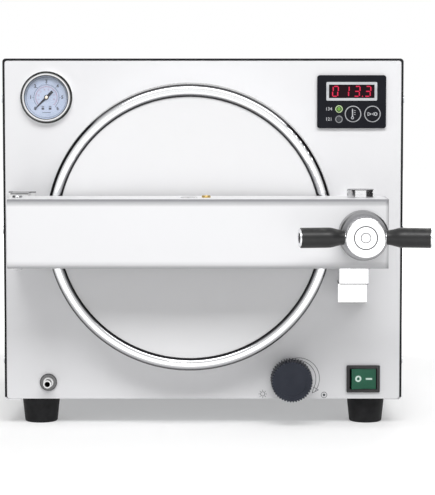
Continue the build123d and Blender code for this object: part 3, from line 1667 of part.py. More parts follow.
with BuildPart() as fuse_holders:
    for x in (fuse_x, fuse_x - fuse_pitch):
        with BuildSketch(upright(rear_face)):
            with Locations((x, inlet_height)):
                Circle(fuse_cap_radius)
        extrude(amount=fuse_body_depth)
        with BuildSketch(upright(rear_face)):
            with Locations((x, inlet_height)):
                Circle(fuse_radius)
        extrude(amount=-fuse_rise)
keep(fuse_holders, "fuse_holders")

safety_start = chamber_end
safety_hex_start = rear_face - safety_hex_length
safety_end = rear_face + safety_body_length
with BuildPart() as safety_valve_body:
    with BuildSketch(upright(safety_start)):
        with Locations((safety_x, safety_height)):
            Circle(safety_stem_radius)
    extrude(amount=-(safety_hex_start - safety_start))
    with BuildSketch(upright(safety_hex_start)):
        with Locations((safety_x, safety_height)):
            RegularPolygon(safety_hex_radius, 6)
    extrude(amount=-safety_hex_length)
    with BuildSketch(upright(rear_face)):
        with Locations((safety_x, safety_height)):
            Circle(safety_body_radius)
    extrude(amount=-safety_body_length)
    with BuildSketch(upright(safety_end)):
        with Locations((safety_x, safety_height)):
            Circle(safety_bore_radius)
    extrude(amount=safety_body_length, mode=Mode.SUBTRACT)
keep(safety_valve_body, "safety_valve_body")

ring_centre_y = safety_end + pull_pin_reach + pull_ring_radius - pull_ring_wire
ring_plane = Plane((safety_x, ring_centre_y, safety_height))
with BuildPart() as safety_valve_ring:
    with BuildSketch(upright(safety_end + pull_pin_reach)):
        with Locations((safety_x, safety_height)):
            Circle(pull_pin_radius)
    extrude(amount=pull_pin_reach + safety_body_length / 2)
    with Locations(ring_plane):
        Torus(pull_ring_radius, pull_ring_wire)
keep(safety_valve_ring, "safety_valve_ring")
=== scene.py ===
import bpy
import bmesh
import math
from mathutils import Matrix, Vector
from mathutils.bvhtree import BVHTree


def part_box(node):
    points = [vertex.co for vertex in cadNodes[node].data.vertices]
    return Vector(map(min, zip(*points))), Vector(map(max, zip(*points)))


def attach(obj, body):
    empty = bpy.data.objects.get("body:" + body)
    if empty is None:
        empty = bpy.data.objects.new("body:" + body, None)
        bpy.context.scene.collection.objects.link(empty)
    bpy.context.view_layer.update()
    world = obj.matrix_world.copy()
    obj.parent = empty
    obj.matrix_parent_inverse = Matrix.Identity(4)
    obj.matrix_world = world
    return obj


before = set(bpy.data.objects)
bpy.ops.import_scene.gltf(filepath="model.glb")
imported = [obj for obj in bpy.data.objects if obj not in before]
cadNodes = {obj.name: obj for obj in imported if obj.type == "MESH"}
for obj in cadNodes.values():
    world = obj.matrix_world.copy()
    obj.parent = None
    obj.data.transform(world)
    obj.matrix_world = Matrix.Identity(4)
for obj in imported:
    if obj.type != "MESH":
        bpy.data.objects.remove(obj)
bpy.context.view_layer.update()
print("frame loaded,", len(cadNodes), "nodes")

panelFace = -0.195                      # the front panel's face, metres
lidCentre = (-0.0132, 0.202)            # x and z of the chamber's axis
screwCentre = (0.1533, 0.2005)          # x and z of the clamp screw
gaugeCentre = (-0.1563, 0.3307)         # x and z of the pressure gauge
nippleCentre = (-0.1562, 0.0437)        # x and z of the drain nipple
hingePinX = -0.1797
lockScrewX = 0.0035
doorPlane = panelFace - 0.07            # y of the upright pins in the beam
threadPitch = 0.003                     # travel of the clamp screw in one turn
rayStart = -0.6                         # y ahead of everything that takes print


def ahead(distance):
    return panelFace - distance


def addNode(tree, kind, place, **settings):
    node = tree.nodes.new(kind)
    node.location = (place[0] * 190, place[1] * 170)
    for key, value in settings.items():
        setattr(node, key, value)
    return node


def join(tree, source, target):
    tree.links.new(source, target)


def mathStep(tree, operation, place, first, second=None, third=None):
    node = addNode(tree, "ShaderNodeMath", place, operation=operation)
    for socket, value in zip(node.inputs, (first, second, third)):
        if value is None:
            continue
        if isinstance(value, (int, float)):
            socket.default_value = value
        else:
            join(tree, value, socket)
    return node.outputs[0]


def rangeOf(tree, place, value, fromMin, fromMax, toMin=0.0, toMax=1.0):
    node = addNode(tree, "ShaderNodeMapRange", place)
    for label, number in (("From Min", fromMin), ("From Max", fromMax), ("To Min", toMin), ("To Max", toMax)):
        node.inputs[label].default_value = number
    join(tree, value, node.inputs["Value"])
    return node.outputs[0]


def splitVector(tree, place, vector):
    parts = addNode(tree, "ShaderNodeSeparateXYZ", place)
    join(tree, vector, parts.inputs[0])
    return parts.outputs


def newGroup(name, takes, gives):
    group = bpy.data.node_groups.new(name, "ShaderNodeTree")
    for label, kind, value in takes:
        socket = group.interface.new_socket(label, in_out="INPUT", socket_type=kind)
        if value is not None:
            socket.default_value = value
    for label, kind in gives:
        group.interface.new_socket(label, in_out="OUTPUT", socket_type=kind)
    source = addNode(group, "NodeGroupInput", (-6, 0))
    target = addNode(group, "NodeGroupOutput", (6, 0))
    return group, source.outputs, target.inputs


def buildGrain():
    # fine pits and a slow mottle, for paint, plastic and cast parts
    group, source, target = newGroup(
        "fineGrain",
        [("Vector", "NodeSocketVector", None), ("Scale", "NodeSocketFloat", 900.0),
         ("Mottle Scale", "NodeSocketFloat", 18.0)],
        [("Height", "NodeSocketFloat"), ("Mottle", "NodeSocketFloat")])
    fine = addNode(group, "ShaderNodeTexNoise", (-3, 1))
    fine.inputs["Detail"].default_value = 3.0
    join(group, source["Vector"], fine.inputs["Vector"])
    join(group, source["Scale"], fine.inputs["Scale"])
    slow = addNode(group, "ShaderNodeTexNoise", (-3, -1))
    slow.inputs["Detail"].default_value = 4.0
    slow.inputs["Roughness"].default_value = 0.6
    join(group, source["Vector"], slow.inputs["Vector"])
    join(group, source["Mottle Scale"], slow.inputs["Scale"])
    join(group, fine.outputs["Fac"], target["Height"])
    join(group, slow.outputs["Fac"], target["Mottle"])
    return group


def buildTurning():
    # rings left by a lathe round the z axis of the vector, and the distance from it
    group, source, target = newGroup(
        "latheRings",
        [("Vector", "NodeSocketVector", None), ("Rings", "NodeSocketFloat", 2500.0)],
        [("Height", "NodeSocketFloat"), ("Radius", "NodeSocketFloat"),
         ("Streak", "NodeSocketFloat")])
    parts = splitVector(group, (-5, 1), source["Vector"])
    flat = addNode(group, "ShaderNodeCombineXYZ", (-4, 1))
    join(group, parts["X"], flat.inputs["X"])
    join(group, parts["Y"], flat.inputs["Y"])
    length = addNode(group, "ShaderNodeVectorMath", (-3, 1), operation="LENGTH")
    join(group, flat.outputs[0], length.inputs[0])
    along = mathStep(group, "ADD", (-2, 0), length.outputs["Value"], parts["Z"])
    rings = mathStep(group, "MULTIPLY", (-1, 0), along, source["Rings"])
    fine = addNode(group, "ShaderNodeTexNoise", (0, 0), noise_dimensions="1D")
    fine.inputs["Scale"].default_value = 1.0
    fine.inputs["Detail"].default_value = 2.0
    join(group, rings, fine.inputs["W"])
    slowRings = mathStep(group, "MULTIPLY", (-1, -2), rings, 0.12)
    slow = addNode(group, "ShaderNodeTexNoise", (0, -2), noise_dimensions="1D")
    slow.inputs["Scale"].default_value = 1.0
    join(group, slowRings, slow.inputs["W"])
    join(group, fine.outputs["Fac"], target["Height"])
    join(group, length.outputs["Value"], target["Radius"])
    join(group, slow.outputs["Fac"], target["Streak"])
    return group


def buildBrushing():
    # long straight scratches along the x axis of the vector
    group, source, target = newGroup(
        "straightBrushing",
        [("Vector", "NodeSocketVector", None), ("Fineness", "NodeSocketFloat", 3000.0)],
        [("Height", "NodeSocketFloat"), ("Streak", "NodeSocketFloat")])
    stretch = addNode(group, "ShaderNodeVectorMath", (-4, 0), operation="MULTIPLY")
    stretch.inputs[1].default_value = (0.012, 1.0, 1.0)
    join(group, source["Vector"], stretch.inputs[0])
    fine = addNode(group, "ShaderNodeTexNoise", (-2, 1))
    fine.inputs["Detail"].default_value = 4.0
    join(group, stretch.outputs[0], fine.inputs["Vector"])
    join(group, source["Fineness"], fine.inputs["Scale"])
    slowScale = mathStep(group, "MULTIPLY", (-3, -1), source["Fineness"], 0.1)
    slow = addNode(group, "ShaderNodeTexNoise", (-2, -1))
    join(group, stretch.outputs[0], slow.inputs["Vector"])
    join(group, slowScale, slow.inputs["Scale"])
    join(group, fine.outputs["Fac"], target["Height"])
    join(group, slow.outputs["Fac"], target["Streak"])
    return group


def buildDust():
    # dust that has settled where a surface faces up, broken up by noise
    group, source, target = newGroup(
        "settledDust",
        [("Vector", "NodeSocketVector", None), ("Amount", "NodeSocketFloat", 0.2)],
        [("Mask", "NodeSocketFloat")])
    shape = addNode(group, "ShaderNodeNewGeometry", (-5, 1))
    parts = splitVector(group, (-4, 1), shape.outputs["Normal"])
    up = rangeOf(group, (-3, 1), parts["Z"], 0.55, 1.0)
    cloud = addNode(group, "ShaderNodeTexNoise", (-4, -1))
    cloud.inputs["Scale"].default_value = 160.0
    cloud.inputs["Detail"].default_value = 8.0
    join(group, source["Vector"], cloud.inputs["Vector"])
    sharp = rangeOf(group, (-3, -1), cloud.outputs["Fac"], 0.42, 0.7)
    both = mathStep(group, "MULTIPLY", (-1, 0), up, sharp)
    scaled = mathStep(group, "MULTIPLY", (1, 0), both, source["Amount"])
    join(group, scaled, target["Mask"])
    return group


def buildSmudges():
    # faint finger smears that change the gloss
    group, source, target = newGroup(
        "handSmears",
        [("Vector", "NodeSocketVector", None), ("Scale", "NodeSocketFloat", 35.0),
         ("Low", "NodeSocketFloat", 0.3), ("High", "NodeSocketFloat", 0.45)],
        [("Roughness", "NodeSocketFloat")])
    smear = addNode(group, "ShaderNodeTexNoise", (-3, 1))
    smear.inputs["Detail"].default_value = 5.0
    smear.inputs["Distortion"].default_value = 1.2
    join(group, source["Vector"], smear.inputs["Vector"])
    join(group, source["Scale"], smear.inputs["Scale"])
    spread = addNode(group, "ShaderNodeMapRange", (0, 1))
    spread.inputs["From Min"].default_value = 0.3
    spread.inputs["From Max"].default_value = 0.7
    join(group, smear.outputs["Fac"], spread.inputs["Value"])
    join(group, source["Low"], spread.inputs["To Min"])
    join(group, source["High"], spread.inputs["To Max"])
    join(group, spread.outputs[0], target["Roughness"])
    return group


grainGroup = buildGrain()
turningGroup = buildTurning()
brushingGroup = buildBrushing()
dustGroup = buildDust()
smudgeGroup = buildSmudges()
print("shared effects ready")


def startFinish(name):
    material = bpy.data.materials.new(name)
    material.use_nodes = True
    tree = material.node_tree
    shader = tree.nodes["Principled BSDF"]
    shader.location = (900, 200)
    place = addNode(tree, "ShaderNodeTexCoord", (-6, 0))
    return material, tree, shader, place.outputs["Object"]


def useGroup(tree, group, place, vector, **values):
    node = addNode(tree, "ShaderNodeGroup", place, node_tree=group)
    join(tree, vector, node.inputs["Vector"])
    for label, value in values.items():
        node.inputs[label.replace("_", " ")].default_value = value
    return node


def blendColours(tree, place, mask, first, second):
    node = addNode(tree, "ShaderNodeMix", place, data_type="RGBA")
    for socket, value in ((node.inputs[6], first), (node.inputs[7], second)):
        if isinstance(value, tuple):
            socket.default_value = (*value, 1.0)
        else:
            join(tree, value, socket)
    if isinstance(mask, (int, float)):
        node.inputs[0].default_value = mask
    else:
        join(tree, mask, node.inputs[0])
    return node.outputs[2]


def blendByNoise(tree, noise, low, high, first, second, most=1.0):
    mask = rangeOf(tree, (-1, 2), noise, low, high, 0.0, most)
    return blendColours(tree, (0, 2), mask, first, second)


def aboutAxis(tree, vector, centre, turn):
    # the object's coordinates seen from an axis of the piece, with z along it
    mapping = addNode(tree, "ShaderNodeMapping", (-5, 0), vector_type="TEXTURE")
    mapping.inputs["Location"].default_value = centre
    mapping.inputs["Rotation"].default_value = turn
    join(tree, vector, mapping.inputs["Vector"])
    return mapping.outputs[0]


def raiseSurface(tree, shader, height, depth):
    bump = addNode(tree, "ShaderNodeBump", (2, -2))
    bump.inputs["Strength"].default_value = 1.0
    bump.inputs["Distance"].default_value = depth
    join(tree, height, bump.inputs["Height"])
    join(tree, bump.outputs[0], shader.inputs["Normal"])


def closeMetal(tree, shader, colour, smear, height, depth):
    join(tree, colour, shader.inputs["Base Color"])
    shader.inputs["Metallic"].default_value = 1.0
    join(tree, smear.outputs["Roughness"], shader.inputs["Roughness"])
    raiseSurface(tree, shader, height, depth)


def paintFinish(name, colour, tint, gloss=(0.28, 0.4), coat=0.25, shine=0.5, bands=()):
    # baked enamel: orange peel, slow tone shift, smears, a little settled dust, and bands of painted shade
    # where given
    material, tree, shader, vector = startFinish(name)
    grain = useGroup(tree, grainGroup, (-3, 1), vector, Scale=420.0, Mottle_Scale=5.0)
    smear = useGroup(tree, smudgeGroup, (-3, -1), vector, Scale=26.0, Low=gloss[0], High=gloss[1])
    dusty = useGroup(tree, dustGroup, (-3, -3), vector, Amount=0.08)
    toned = blendByNoise(tree, grain.outputs["Mottle"], 0.35, 0.65, colour, tint)
    if bands:
        parts = splitVector(tree, (-5, 4), vector)
    for step, (axis, near, far, strength, shade) in enumerate(bands):
        mask = rangeOf(tree, (-1, 4 + step), parts[axis], near, far, 0.0, strength)
        toned = blendColours(tree, (1, 4 + step), mask, toned, shade)
    dulled = blendColours(tree, (2, 2), dusty.outputs["Mask"], toned, (0.62, 0.6, 0.57))
    join(tree, dulled, shader.inputs["Base Color"])
    join(tree, smear.outputs["Roughness"], shader.inputs["Roughness"])
    shader.inputs["Coat Weight"].default_value = coat
    shader.inputs["Specular IOR Level"].default_value = shine
    shader.inputs["Coat Roughness"].default_value = 0.12
    raiseSurface(tree, shader, grain.outputs["Height"], 0.000022)
    return material


def turnedFinish(name, colour, stain, centre, turn, gloss=(0.12, 0.24), rings=2500.0, darkRings=(),
                 darkFrom=0.0, topShade=None):
    # metal off a lathe: rings round its own axis, smears, darker rings of painted shade and painted
    # reflection at given radii ahead of a given depth, and a painted shade on the top where asked
    material, tree, shader, vector = startFinish(name)
    centred = aboutAxis(tree, vector, centre, turn)
    turned = useGroup(tree, turningGroup, (-3, 1), centred, Rings=rings)
    smear = useGroup(tree, smudgeGroup, (-3, -1), vector, Scale=60.0, Low=gloss[0], High=gloss[1])
    toned = blendByNoise(tree, turned.outputs["Streak"], 0.35, 0.7, colour, stain)
    if darkRings:
        level = splitVector(tree, (-5, 6), vector)
        front = rangeOf(tree, (-3, 6), level["Y"], ahead(darkFrom) + 0.0001, ahead(darkFrom))
    for step, (radius, width, shade) in enumerate(darkRings):
        away = mathStep(tree, "SUBTRACT", (-3, 4 + step), turned.outputs["Radius"], radius)
        away = mathStep(tree, "ABSOLUTE", (-2, 4 + step), away)
        close = rangeOf(tree, (-1, 4 + step), away, width * 0.45, width, 1.0, 0.0)
        mask = mathStep(tree, "MULTIPLY", (0, 4 + step), close, front)
        toned = blendColours(tree, (1, 4 + step), mask, toned, shade)
    if topShade:
        height, shade = topShade
        parts = splitVector(tree, (-5, 4), vector)
        mask = rangeOf(tree, (0, 8), parts["Z"], height - 0.0002, height)
        toned = blendColours(tree, (1, 8), mask, toned, shade)
    closeMetal(tree, shader, toned, smear, turned.outputs["Height"], 0.000004)
    return material


def brushedFinish(name, colour, stain, gloss=(0.2, 0.36), paintedShadeLines=()):
    # rolled or brushed sheet metal, with dark lines of painted shade at given heights
    material, tree, shader, vector = startFinish(name)
    brushed = useGroup(tree, brushingGroup, (-3, 1), vector, Fineness=2600.0)
    smear = useGroup(tree, smudgeGroup, (-3, -1), vector, Scale=40.0, Low=gloss[0], High=gloss[1])
    dusty = useGroup(tree, dustGroup, (-3, -3), vector, Amount=0.12)
    toned = blendByNoise(tree, brushed.outputs["Streak"], 0.35, 0.68, colour, stain)
    if paintedShadeLines:
        parts = splitVector(tree, (-5, 4), vector)
    for step, (height, width) in enumerate(paintedShadeLines):
        away = mathStep(tree, "SUBTRACT", (-3, 4 + step), parts["Z"], height)
        away = mathStep(tree, "ABSOLUTE", (-2, 4 + step), away)
        mask = rangeOf(tree, (-1, 4 + step), away, width * 0.5, width, 1.0, 0.0)
        toned = blendColours(tree, (0, 4 + step), mask, toned, (0.05, 0.05, 0.052))
    dulled = blendColours(tree, (1, 2), dusty.outputs["Mask"], toned, (0.5, 0.48, 0.45))
    closeMetal(tree, shader, dulled, smear, brushed.outputs["Height"], 0.000005)
    return material


def spangledFinish(name, colour, stain):
    # zinc plate: crystals of slightly different tone
    material, tree, shader, vector = startFinish(name)
    cells = addNode(tree, "ShaderNodeTexVoronoi", (-3, 1))
    cells.inputs["Scale"].default_value = 260.0
    join(tree, vector, cells.inputs["Vector"])
    parts = addNode(tree, "ShaderNodeSeparateColor", (-2, 1))
    join(tree, cells.outputs["Color"], parts.inputs[0])
    smear = useGroup(tree, smudgeGroup, (-3, -1), vector, Scale=50.0, Low=0.28, High=0.45)
    grain = useGroup(tree, grainGroup, (-3, -3), vector, Scale=1400.0, Mottle_Scale=30.0)
    toned = blendColours(tree, (0, 2), parts.outputs[0], colour, stain)
    closeMetal(tree, shader, toned, smear, grain.outputs["Height"], 0.000006)
    return material


def mouldedFinish(name, colour, tint, gloss=(0.35, 0.5), texture=1100.0, depth=0.00001, dust=0.15,
                  sheen=0.0, shine=0.5):
    # moulded plastic or rubber: fine tool texture, worn gloss, dust
    material, tree, shader, vector = startFinish(name)
    grain = useGroup(tree, grainGroup, (-3, 1), vector, Scale=texture, Mottle_Scale=40.0)
    smear = useGroup(tree, smudgeGroup, (-3, -1), vector, Scale=70.0, Low=gloss[0], High=gloss[1])
    dusty = useGroup(tree, dustGroup, (-3, -3), vector, Amount=dust)
    toned = blendByNoise(tree, grain.outputs["Mottle"], 0.35, 0.65, colour, tint)
    dulled = blendColours(tree, (1, 2), dusty.outputs["Mask"], toned, (0.35, 0.34, 0.32))
    join(tree, dulled, shader.inputs["Base Color"])
    join(tree, smear.outputs["Roughness"], shader.inputs["Roughness"])
    shader.inputs["Sheen Weight"].default_value = sheen
    shader.inputs["Specular IOR Level"].default_value = shine
    raiseSurface(tree, shader, grain.outputs["Height"], depth)
    return material


def inkFinish(name, colour, worn, gloss=0.5):
    # screen-printed ink, slightly patchy
    material, tree, shader, vector = startFinish(name)
    grain = useGroup(tree, grainGroup, (-3, 1), vector, Scale=2600.0, Mottle_Scale=400.0)
    toned = blendByNoise(tree, grain.outputs["Mottle"], 0.4, 0.75, colour, worn, most=0.6)
    join(tree, toned, shader.inputs["Base Color"])
    shader.inputs["Roughness"].default_value = gloss
    raiseSurface(tree, shader, grain.outputs["Height"], 0.000004)
    return material


def glowFinish(name, colour, dim, strength):
    # a lit segment or lamp, a little uneven
    material, tree, shader, vector = startFinish(name)
    grain = useGroup(tree, grainGroup, (-3, 1), vector, Scale=3200.0, Mottle_Scale=260.0)
    toned = blendByNoise(tree, grain.outputs["Mottle"], 0.3, 0.7, colour, dim)
    join(tree, toned, shader.inputs["Base Color"])
    join(tree, toned, shader.inputs["Emission Color"])
    shader.inputs["Emission Strength"].default_value = strength
    shader.inputs["Roughness"].default_value = 0.3
    raiseSurface(tree, shader, grain.outputs["Height"], 0.000004)
    return material


def glassFinish(name, colour, gloss=0.01):
    material, tree, shader, vector = startFinish(name)
    smear = useGroup(tree, smudgeGroup, (-3, -1), vector, Scale=90.0, Low=gloss, High=gloss + 0.03)
    join(tree, smear.outputs["Roughness"], shader.inputs["Roughness"])
    shader.inputs["Base Color"].default_value = (*colour, 1.0)
    shader.inputs["Transmission Weight"].default_value = 1.0
    shader.inputs["IOR"].default_value = 1.45
    return material


def threadedFinish(name, colour, stain):
    # a screw thread wound round the clamp screw's axis, with painted shade in its grooves, and a bare end
    # ahead of it
    material, tree, shader, vector = startFinish(name)
    parts = splitVector(tree, (-4, 1), aboutAxis(tree, vector, screwAxis, faceFront))
    angle = mathStep(tree, "ARCTAN2", (-3, 1), parts["Y"], parts["X"])
    turns = mathStep(tree, "DIVIDE", (-2, 1), angle, 2 * math.pi)
    climb = mathStep(tree, "DIVIDE", (-3, 2), parts["Z"], threadPitch)
    wound = mathStep(tree, "ADD", (-1, 2), climb, turns)
    saw = mathStep(tree, "PINGPONG", (0, 2), wound, 0.5)
    level = splitVector(tree, (-4, 4), vector)
    hidden = rangeOf(tree, (-2, 4), level["Y"], ahead(0.125), ahead(0.120))
    tooth = mathStep(tree, "MULTIPLY", (1, 4), saw, hidden)
    plain = mathStep(tree, "SUBTRACT", (1, 5), 1.0, hidden)
    bright = mathStep(tree, "ADD", (2, 5), tooth, plain)
    smear = useGroup(tree, smudgeGroup, (-3, -1), vector, Scale=80.0, Low=0.2, High=0.38)
    # the stain colour darkens the thread's grooves: painted shade
    toned = blendColours(tree, (1, 3), rangeOf(tree, (0, 3), bright, 0.0, 0.4), stain, colour)
    closeMetal(tree, shader, toned, smear, tooth, 0.0012)
    return material


faceFront = (math.radians(90), 0.0, 0.0)
upright = (0.0, 0.0, 0.0)
lidAxis = (lidCentre[0], 0.0, lidCentre[1])
screwAxis = (screwCentre[0], 0.0, screwCentre[1])
gaugeAxis = (gaugeCentre[0], 0.0, gaugeCentre[1])
nippleAxis = (nippleCentre[0], 0.0, nippleCentre[1])

paintWhite = (0.80, 0.80, 0.815)
beamWhite = (0.85, 0.85, 0.865)
bendPaintedShade = (0.22, 0.22, 0.235)
rimWhite = (0.95, 0.955, 0.96)
rimStain = (0.78, 0.785, 0.8)
hubWhite = (0.97, 0.97, 0.975)
hubStain = (0.93, 0.93, 0.94)
paintedShadeBlack = (0.012, 0.012, 0.014)
paintedReflectionGrey = (0.34, 0.34, 0.35)
paintedShadeDark = (0.04, 0.04, 0.045)

# bands of painted shade on the beam's top and bottom bends and its right end, and a white band keeping the
# top face clear of it: axis, where a band begins, where it is full, how strong, which colour
beamPaintedShadeBands = (("Z", 0.2270, 0.2325, 0.92, bendPaintedShade), ("Z", 0.23395, 0.2341, 1.0, beamWhite),
             ("Z", 0.1745, 0.1676, 0.55, bendPaintedShade), ("X", 0.1750, 0.1784, 0.55, bendPaintedShade))
# painted shade: the bracket's top face is darkened
bracketTopPaintedShade = (("Z", 0.2352, 0.2358, 1.0, (0.13, 0.13, 0.135)),)
# rings of painted shade and painted reflection, the rim's grey bands painted reflections and its black lines
# painted shade at its edges: radius, half width, colour
rimPaintedShadeRings = ((0.1296, 0.0050, paintedReflectionGrey), (0.1420, 0.0048, paintedReflectionGrey), (0.1425, 0.0030, paintedShadeBlack),
            (0.1290, 0.0030, paintedShadeBlack))
# painted shade at the end cap's edge and round the screw in the middle
washerPaintedShadeRings = ((0.0109, 0.0009, paintedShadeDark), (0.0042, 0.0010, (0.08, 0.08, 0.085)))
# painted shade: the inner shadow line at the dial and a dark band at the bezel's outer edge
bezelPaintedShadeRings = ((0.0215, 0.0010, paintedShadeBlack), (0.0254, 0.0022, (0.05, 0.05, 0.048)))
# a painted reflection band and a line of painted shade on the drain nipple
nipplePaintedShadeRings = ((0.0067, 0.0026, (0.13, 0.13, 0.132)), (0.0086, 0.0008, (0.05, 0.05, 0.052)))

caseEnamel = paintFinish("caseEnamel", paintWhite, (0.785, 0.785, 0.8), gloss=(0.32, 0.38))
beamEnamel = paintFinish("beamEnamel", beamWhite, (0.84, 0.84, 0.855), gloss=(0.36, 0.42), coat=0.0,
                         shine=0.2, bands=beamPaintedShadeBands)
lidEnamel = paintFinish("lidEnamel", (0.82, 0.82, 0.83), (0.81, 0.81, 0.82), gloss=(0.34, 0.38),
                        coat=0.15)
bracketEnamel = paintFinish("bracketEnamel", (0.8, 0.8, 0.8), (0.76, 0.76, 0.77), gloss=(0.3, 0.4),
                            bands=bracketTopPaintedShade)
# black rubber on the cover's front edge trim, a dark piece standing in for the painted shadow gap between
# panel and cover
shadowGapTrimRubber = mouldedFinish("shadowGapTrimRubber", (0.009, 0.009, 0.011), (0.016, 0.016, 0.018), gloss=(0.4, 0.5),
                           dust=0.0, shine=0.15)
footRubber = mouldedFinish("footRubber", (0.008, 0.008, 0.009), (0.022, 0.022, 0.023), gloss=(0.5, 0.65),
                           texture=800.0, depth=0.00003, shine=0.2)
gasketSilicone = mouldedFinish("gasketSilicone", (0.62, 0.6, 0.56), (0.55, 0.52, 0.47), gloss=(0.45, 0.6),
                               texture=1500.0)
rimChrome = turnedFinish("rimChrome", rimWhite, rimStain, lidAxis, faceFront, gloss=(0.1, 0.14),
                         rings=1800.0, darkRings=rimPaintedShadeRings, darkFrom=0.0335)
# a dark ring of painted shade at the end cap's edge
hubChrome = turnedFinish("hubChrome", hubWhite, hubStain, screwAxis, faceFront, gloss=(0.2, 0.24),
                         rings=1400.0, darkRings=((0.0109, 0.0006, paintedShadeDark),))
washerChrome = turnedFinish("washerChrome", hubWhite, hubStain, screwAxis, faceFront,
                            gloss=(0.2, 0.24), rings=1600.0, darkRings=washerPaintedShadeRings)
collarSteel = turnedFinish("collarSteel", (0.30, 0.30, 0.305), (0.22, 0.22, 0.23), screwAxis, faceFront,
                           gloss=(0.3, 0.42), rings=1100.0)
bezelChrome = turnedFinish("bezelChrome", rimWhite, rimStain, gaugeAxis, faceFront, gloss=(0.1, 0.14),
                           rings=2200.0, darkRings=bezelPaintedShadeRings, darkFrom=0.0046)
# topShade paints a shade on the trunnion's top face
trunnionChrome = turnedFinish("trunnionChrome", (0.74, 0.745, 0.75), (0.6, 0.6, 0.61),
                              (screwCentre[0], doorPlane, 0.0), upright, gloss=(0.1, 0.16),
                              topShade=(0.2418, (0.22, 0.22, 0.225)))
nippleChrome = turnedFinish("nippleChrome", (0.8, 0.8, 0.8), (0.6, 0.6, 0.61), nippleAxis, faceFront,
                            gloss=(0.16, 0.28), darkRings=nipplePaintedShadeRings)
# dark lines of painted shade: the upper block's shadow across the step and the shade under the lower block
keeperSteel = brushedFinish("keeperSteel", (0.98, 0.98, 0.985), (0.95, 0.95, 0.955), gloss=(0.22, 0.27),
                            paintedShadeLines=((0.14625, 0.0016), (0.1258, 0.0010)))
capChrome = brushedFinish("capChrome", (0.85, 0.85, 0.86), (0.7, 0.7, 0.72), gloss=(0.15, 0.25))
machined = turnedFinish("machinedSteel", (0.62, 0.62, 0.63), (0.5, 0.5, 0.51),
                        (hingePinX, doorPlane, 0.0), upright, gloss=(0.2, 0.34))
clampThread = threadedFinish("clampThread", (0.94, 0.94, 0.945), (0.22, 0.21, 0.2))
stainlessSheet = brushedFinish("stainlessSheet", (0.66, 0.66, 0.66), (0.57, 0.57, 0.57))
chamberSteel = turnedFinish("chamberSteel", (0.62, 0.62, 0.62), (0.54, 0.54, 0.54), lidAxis, faceFront,
                            gloss=(0.2, 0.32), rings=900.0)
lidSteel = turnedFinish("lidSteel", (0.66, 0.66, 0.66), (0.56, 0.56, 0.57), lidAxis, faceFront,
                        gloss=(0.16, 0.28), rings=700.0)
zincPlate = spangledFinish("zincPlate", (0.62, 0.63, 0.64), (0.52, 0.53, 0.55))
brassTurned = turnedFinish("brassTurned", (0.72, 0.52, 0.2), (0.55, 0.38, 0.13),
                           (lockScrewX, doorPlane, 0.0), upright, gloss=(0.18, 0.32))
copperTube = brushedFinish("copperTube", (0.66, 0.32, 0.18), (0.42, 0.2, 0.12), gloss=(0.25, 0.42))
bearingNylon = mouldedFinish("bearingNylon", (0.72, 0.7, 0.64), (0.64, 0.61, 0.55), gloss=(0.4, 0.52))
woolJacket = mouldedFinish("woolJacket", (0.52, 0.48, 0.38), (0.4, 0.36, 0.27), gloss=(0.8, 0.95),
                           texture=420.0, depth=0.0004, sheen=0.4)
gripPlastic = mouldedFinish("gripPlastic", (0.012, 0.012, 0.0125), (0.018, 0.018, 0.0185),
                            gloss=(0.32, 0.42), texture=1300.0, shine=0.32)
knobPlastic = mouldedFinish("knobPlastic", (0.021, 0.024, 0.035), (0.03, 0.034, 0.047), gloss=(0.4, 0.5),
                            texture=1500.0, depth=0.000006, shine=0.2)
fasciaFilm = mouldedFinish("fasciaFilm", (0.0055, 0.006, 0.0095), (0.008, 0.009, 0.013),
                           gloss=(0.3, 0.36), texture=2200.0, depth=0.000004, dust=0.0, shine=0.12)
buttonFilm = mouldedFinish("buttonFilm", (0.006, 0.0065, 0.01), (0.009, 0.01, 0.014), gloss=(0.3, 0.38),
                           texture=2000.0, dust=0.0, shine=0.12)
windowRed = mouldedFinish("windowRed", (0.010, 0.002, 0.005), (0.014, 0.003, 0.006), gloss=(0.06, 0.12),
                          texture=300.0, depth=0.000001, dust=0.0, shine=0.12)
frameSilver = brushedFinish("frameSilver", (0.5, 0.51, 0.53), (0.42, 0.43, 0.45), gloss=(0.3, 0.42))
digitRed = glowFinish("digitRed", (0.55, 0.003, 0.045), (0.4, 0.002, 0.03), 0.5)
lampLit = glowFinish("lampLit", (0.13, 0.3, 0.025), (0.07, 0.2, 0.015), 0.35)
lampDark = mouldedFinish("lampDark", (0.03, 0.033, 0.04), (0.05, 0.054, 0.06), gloss=(0.12, 0.22),
                         texture=1200.0, dust=0.0, shine=0.25)
boardFinish = mouldedFinish("boardFinish", (0.02, 0.12, 0.045), (0.03, 0.18, 0.07), gloss=(0.25, 0.4),
                            texture=500.0, depth=0.00002)
dialPaint = mouldedFinish("dialPaint", (0.30, 0.345, 0.44), (0.265, 0.31, 0.405), gloss=(0.4, 0.5),
                          texture=1800.0, depth=0.000004, dust=0.0)
needleInk = mouldedFinish("needleInk", (0.004, 0.005, 0.012), (0.008, 0.009, 0.018), gloss=(0.45, 0.55),
                          dust=0.0, shine=0.15)
gaugeGlass = glassFinish("gaugeGlass", (0.985, 0.99, 1.0))
switchBlack = mouldedFinish("switchBlack", (0.04, 0.038, 0.04), (0.055, 0.053, 0.055), gloss=(0.4, 0.5),
                            texture=1400.0, dust=0.0, shine=0.2)
rockerGreen = mouldedFinish("rockerGreen", (0.010, 0.098, 0.053), (0.014, 0.118, 0.064),
                            gloss=(0.16, 0.24), texture=900.0, depth=0.000003, dust=0.0, shine=0.25)
inletPlastic = mouldedFinish("inletPlastic", (0.02, 0.02, 0.021), (0.034, 0.034, 0.036), gloss=(0.38, 0.5))

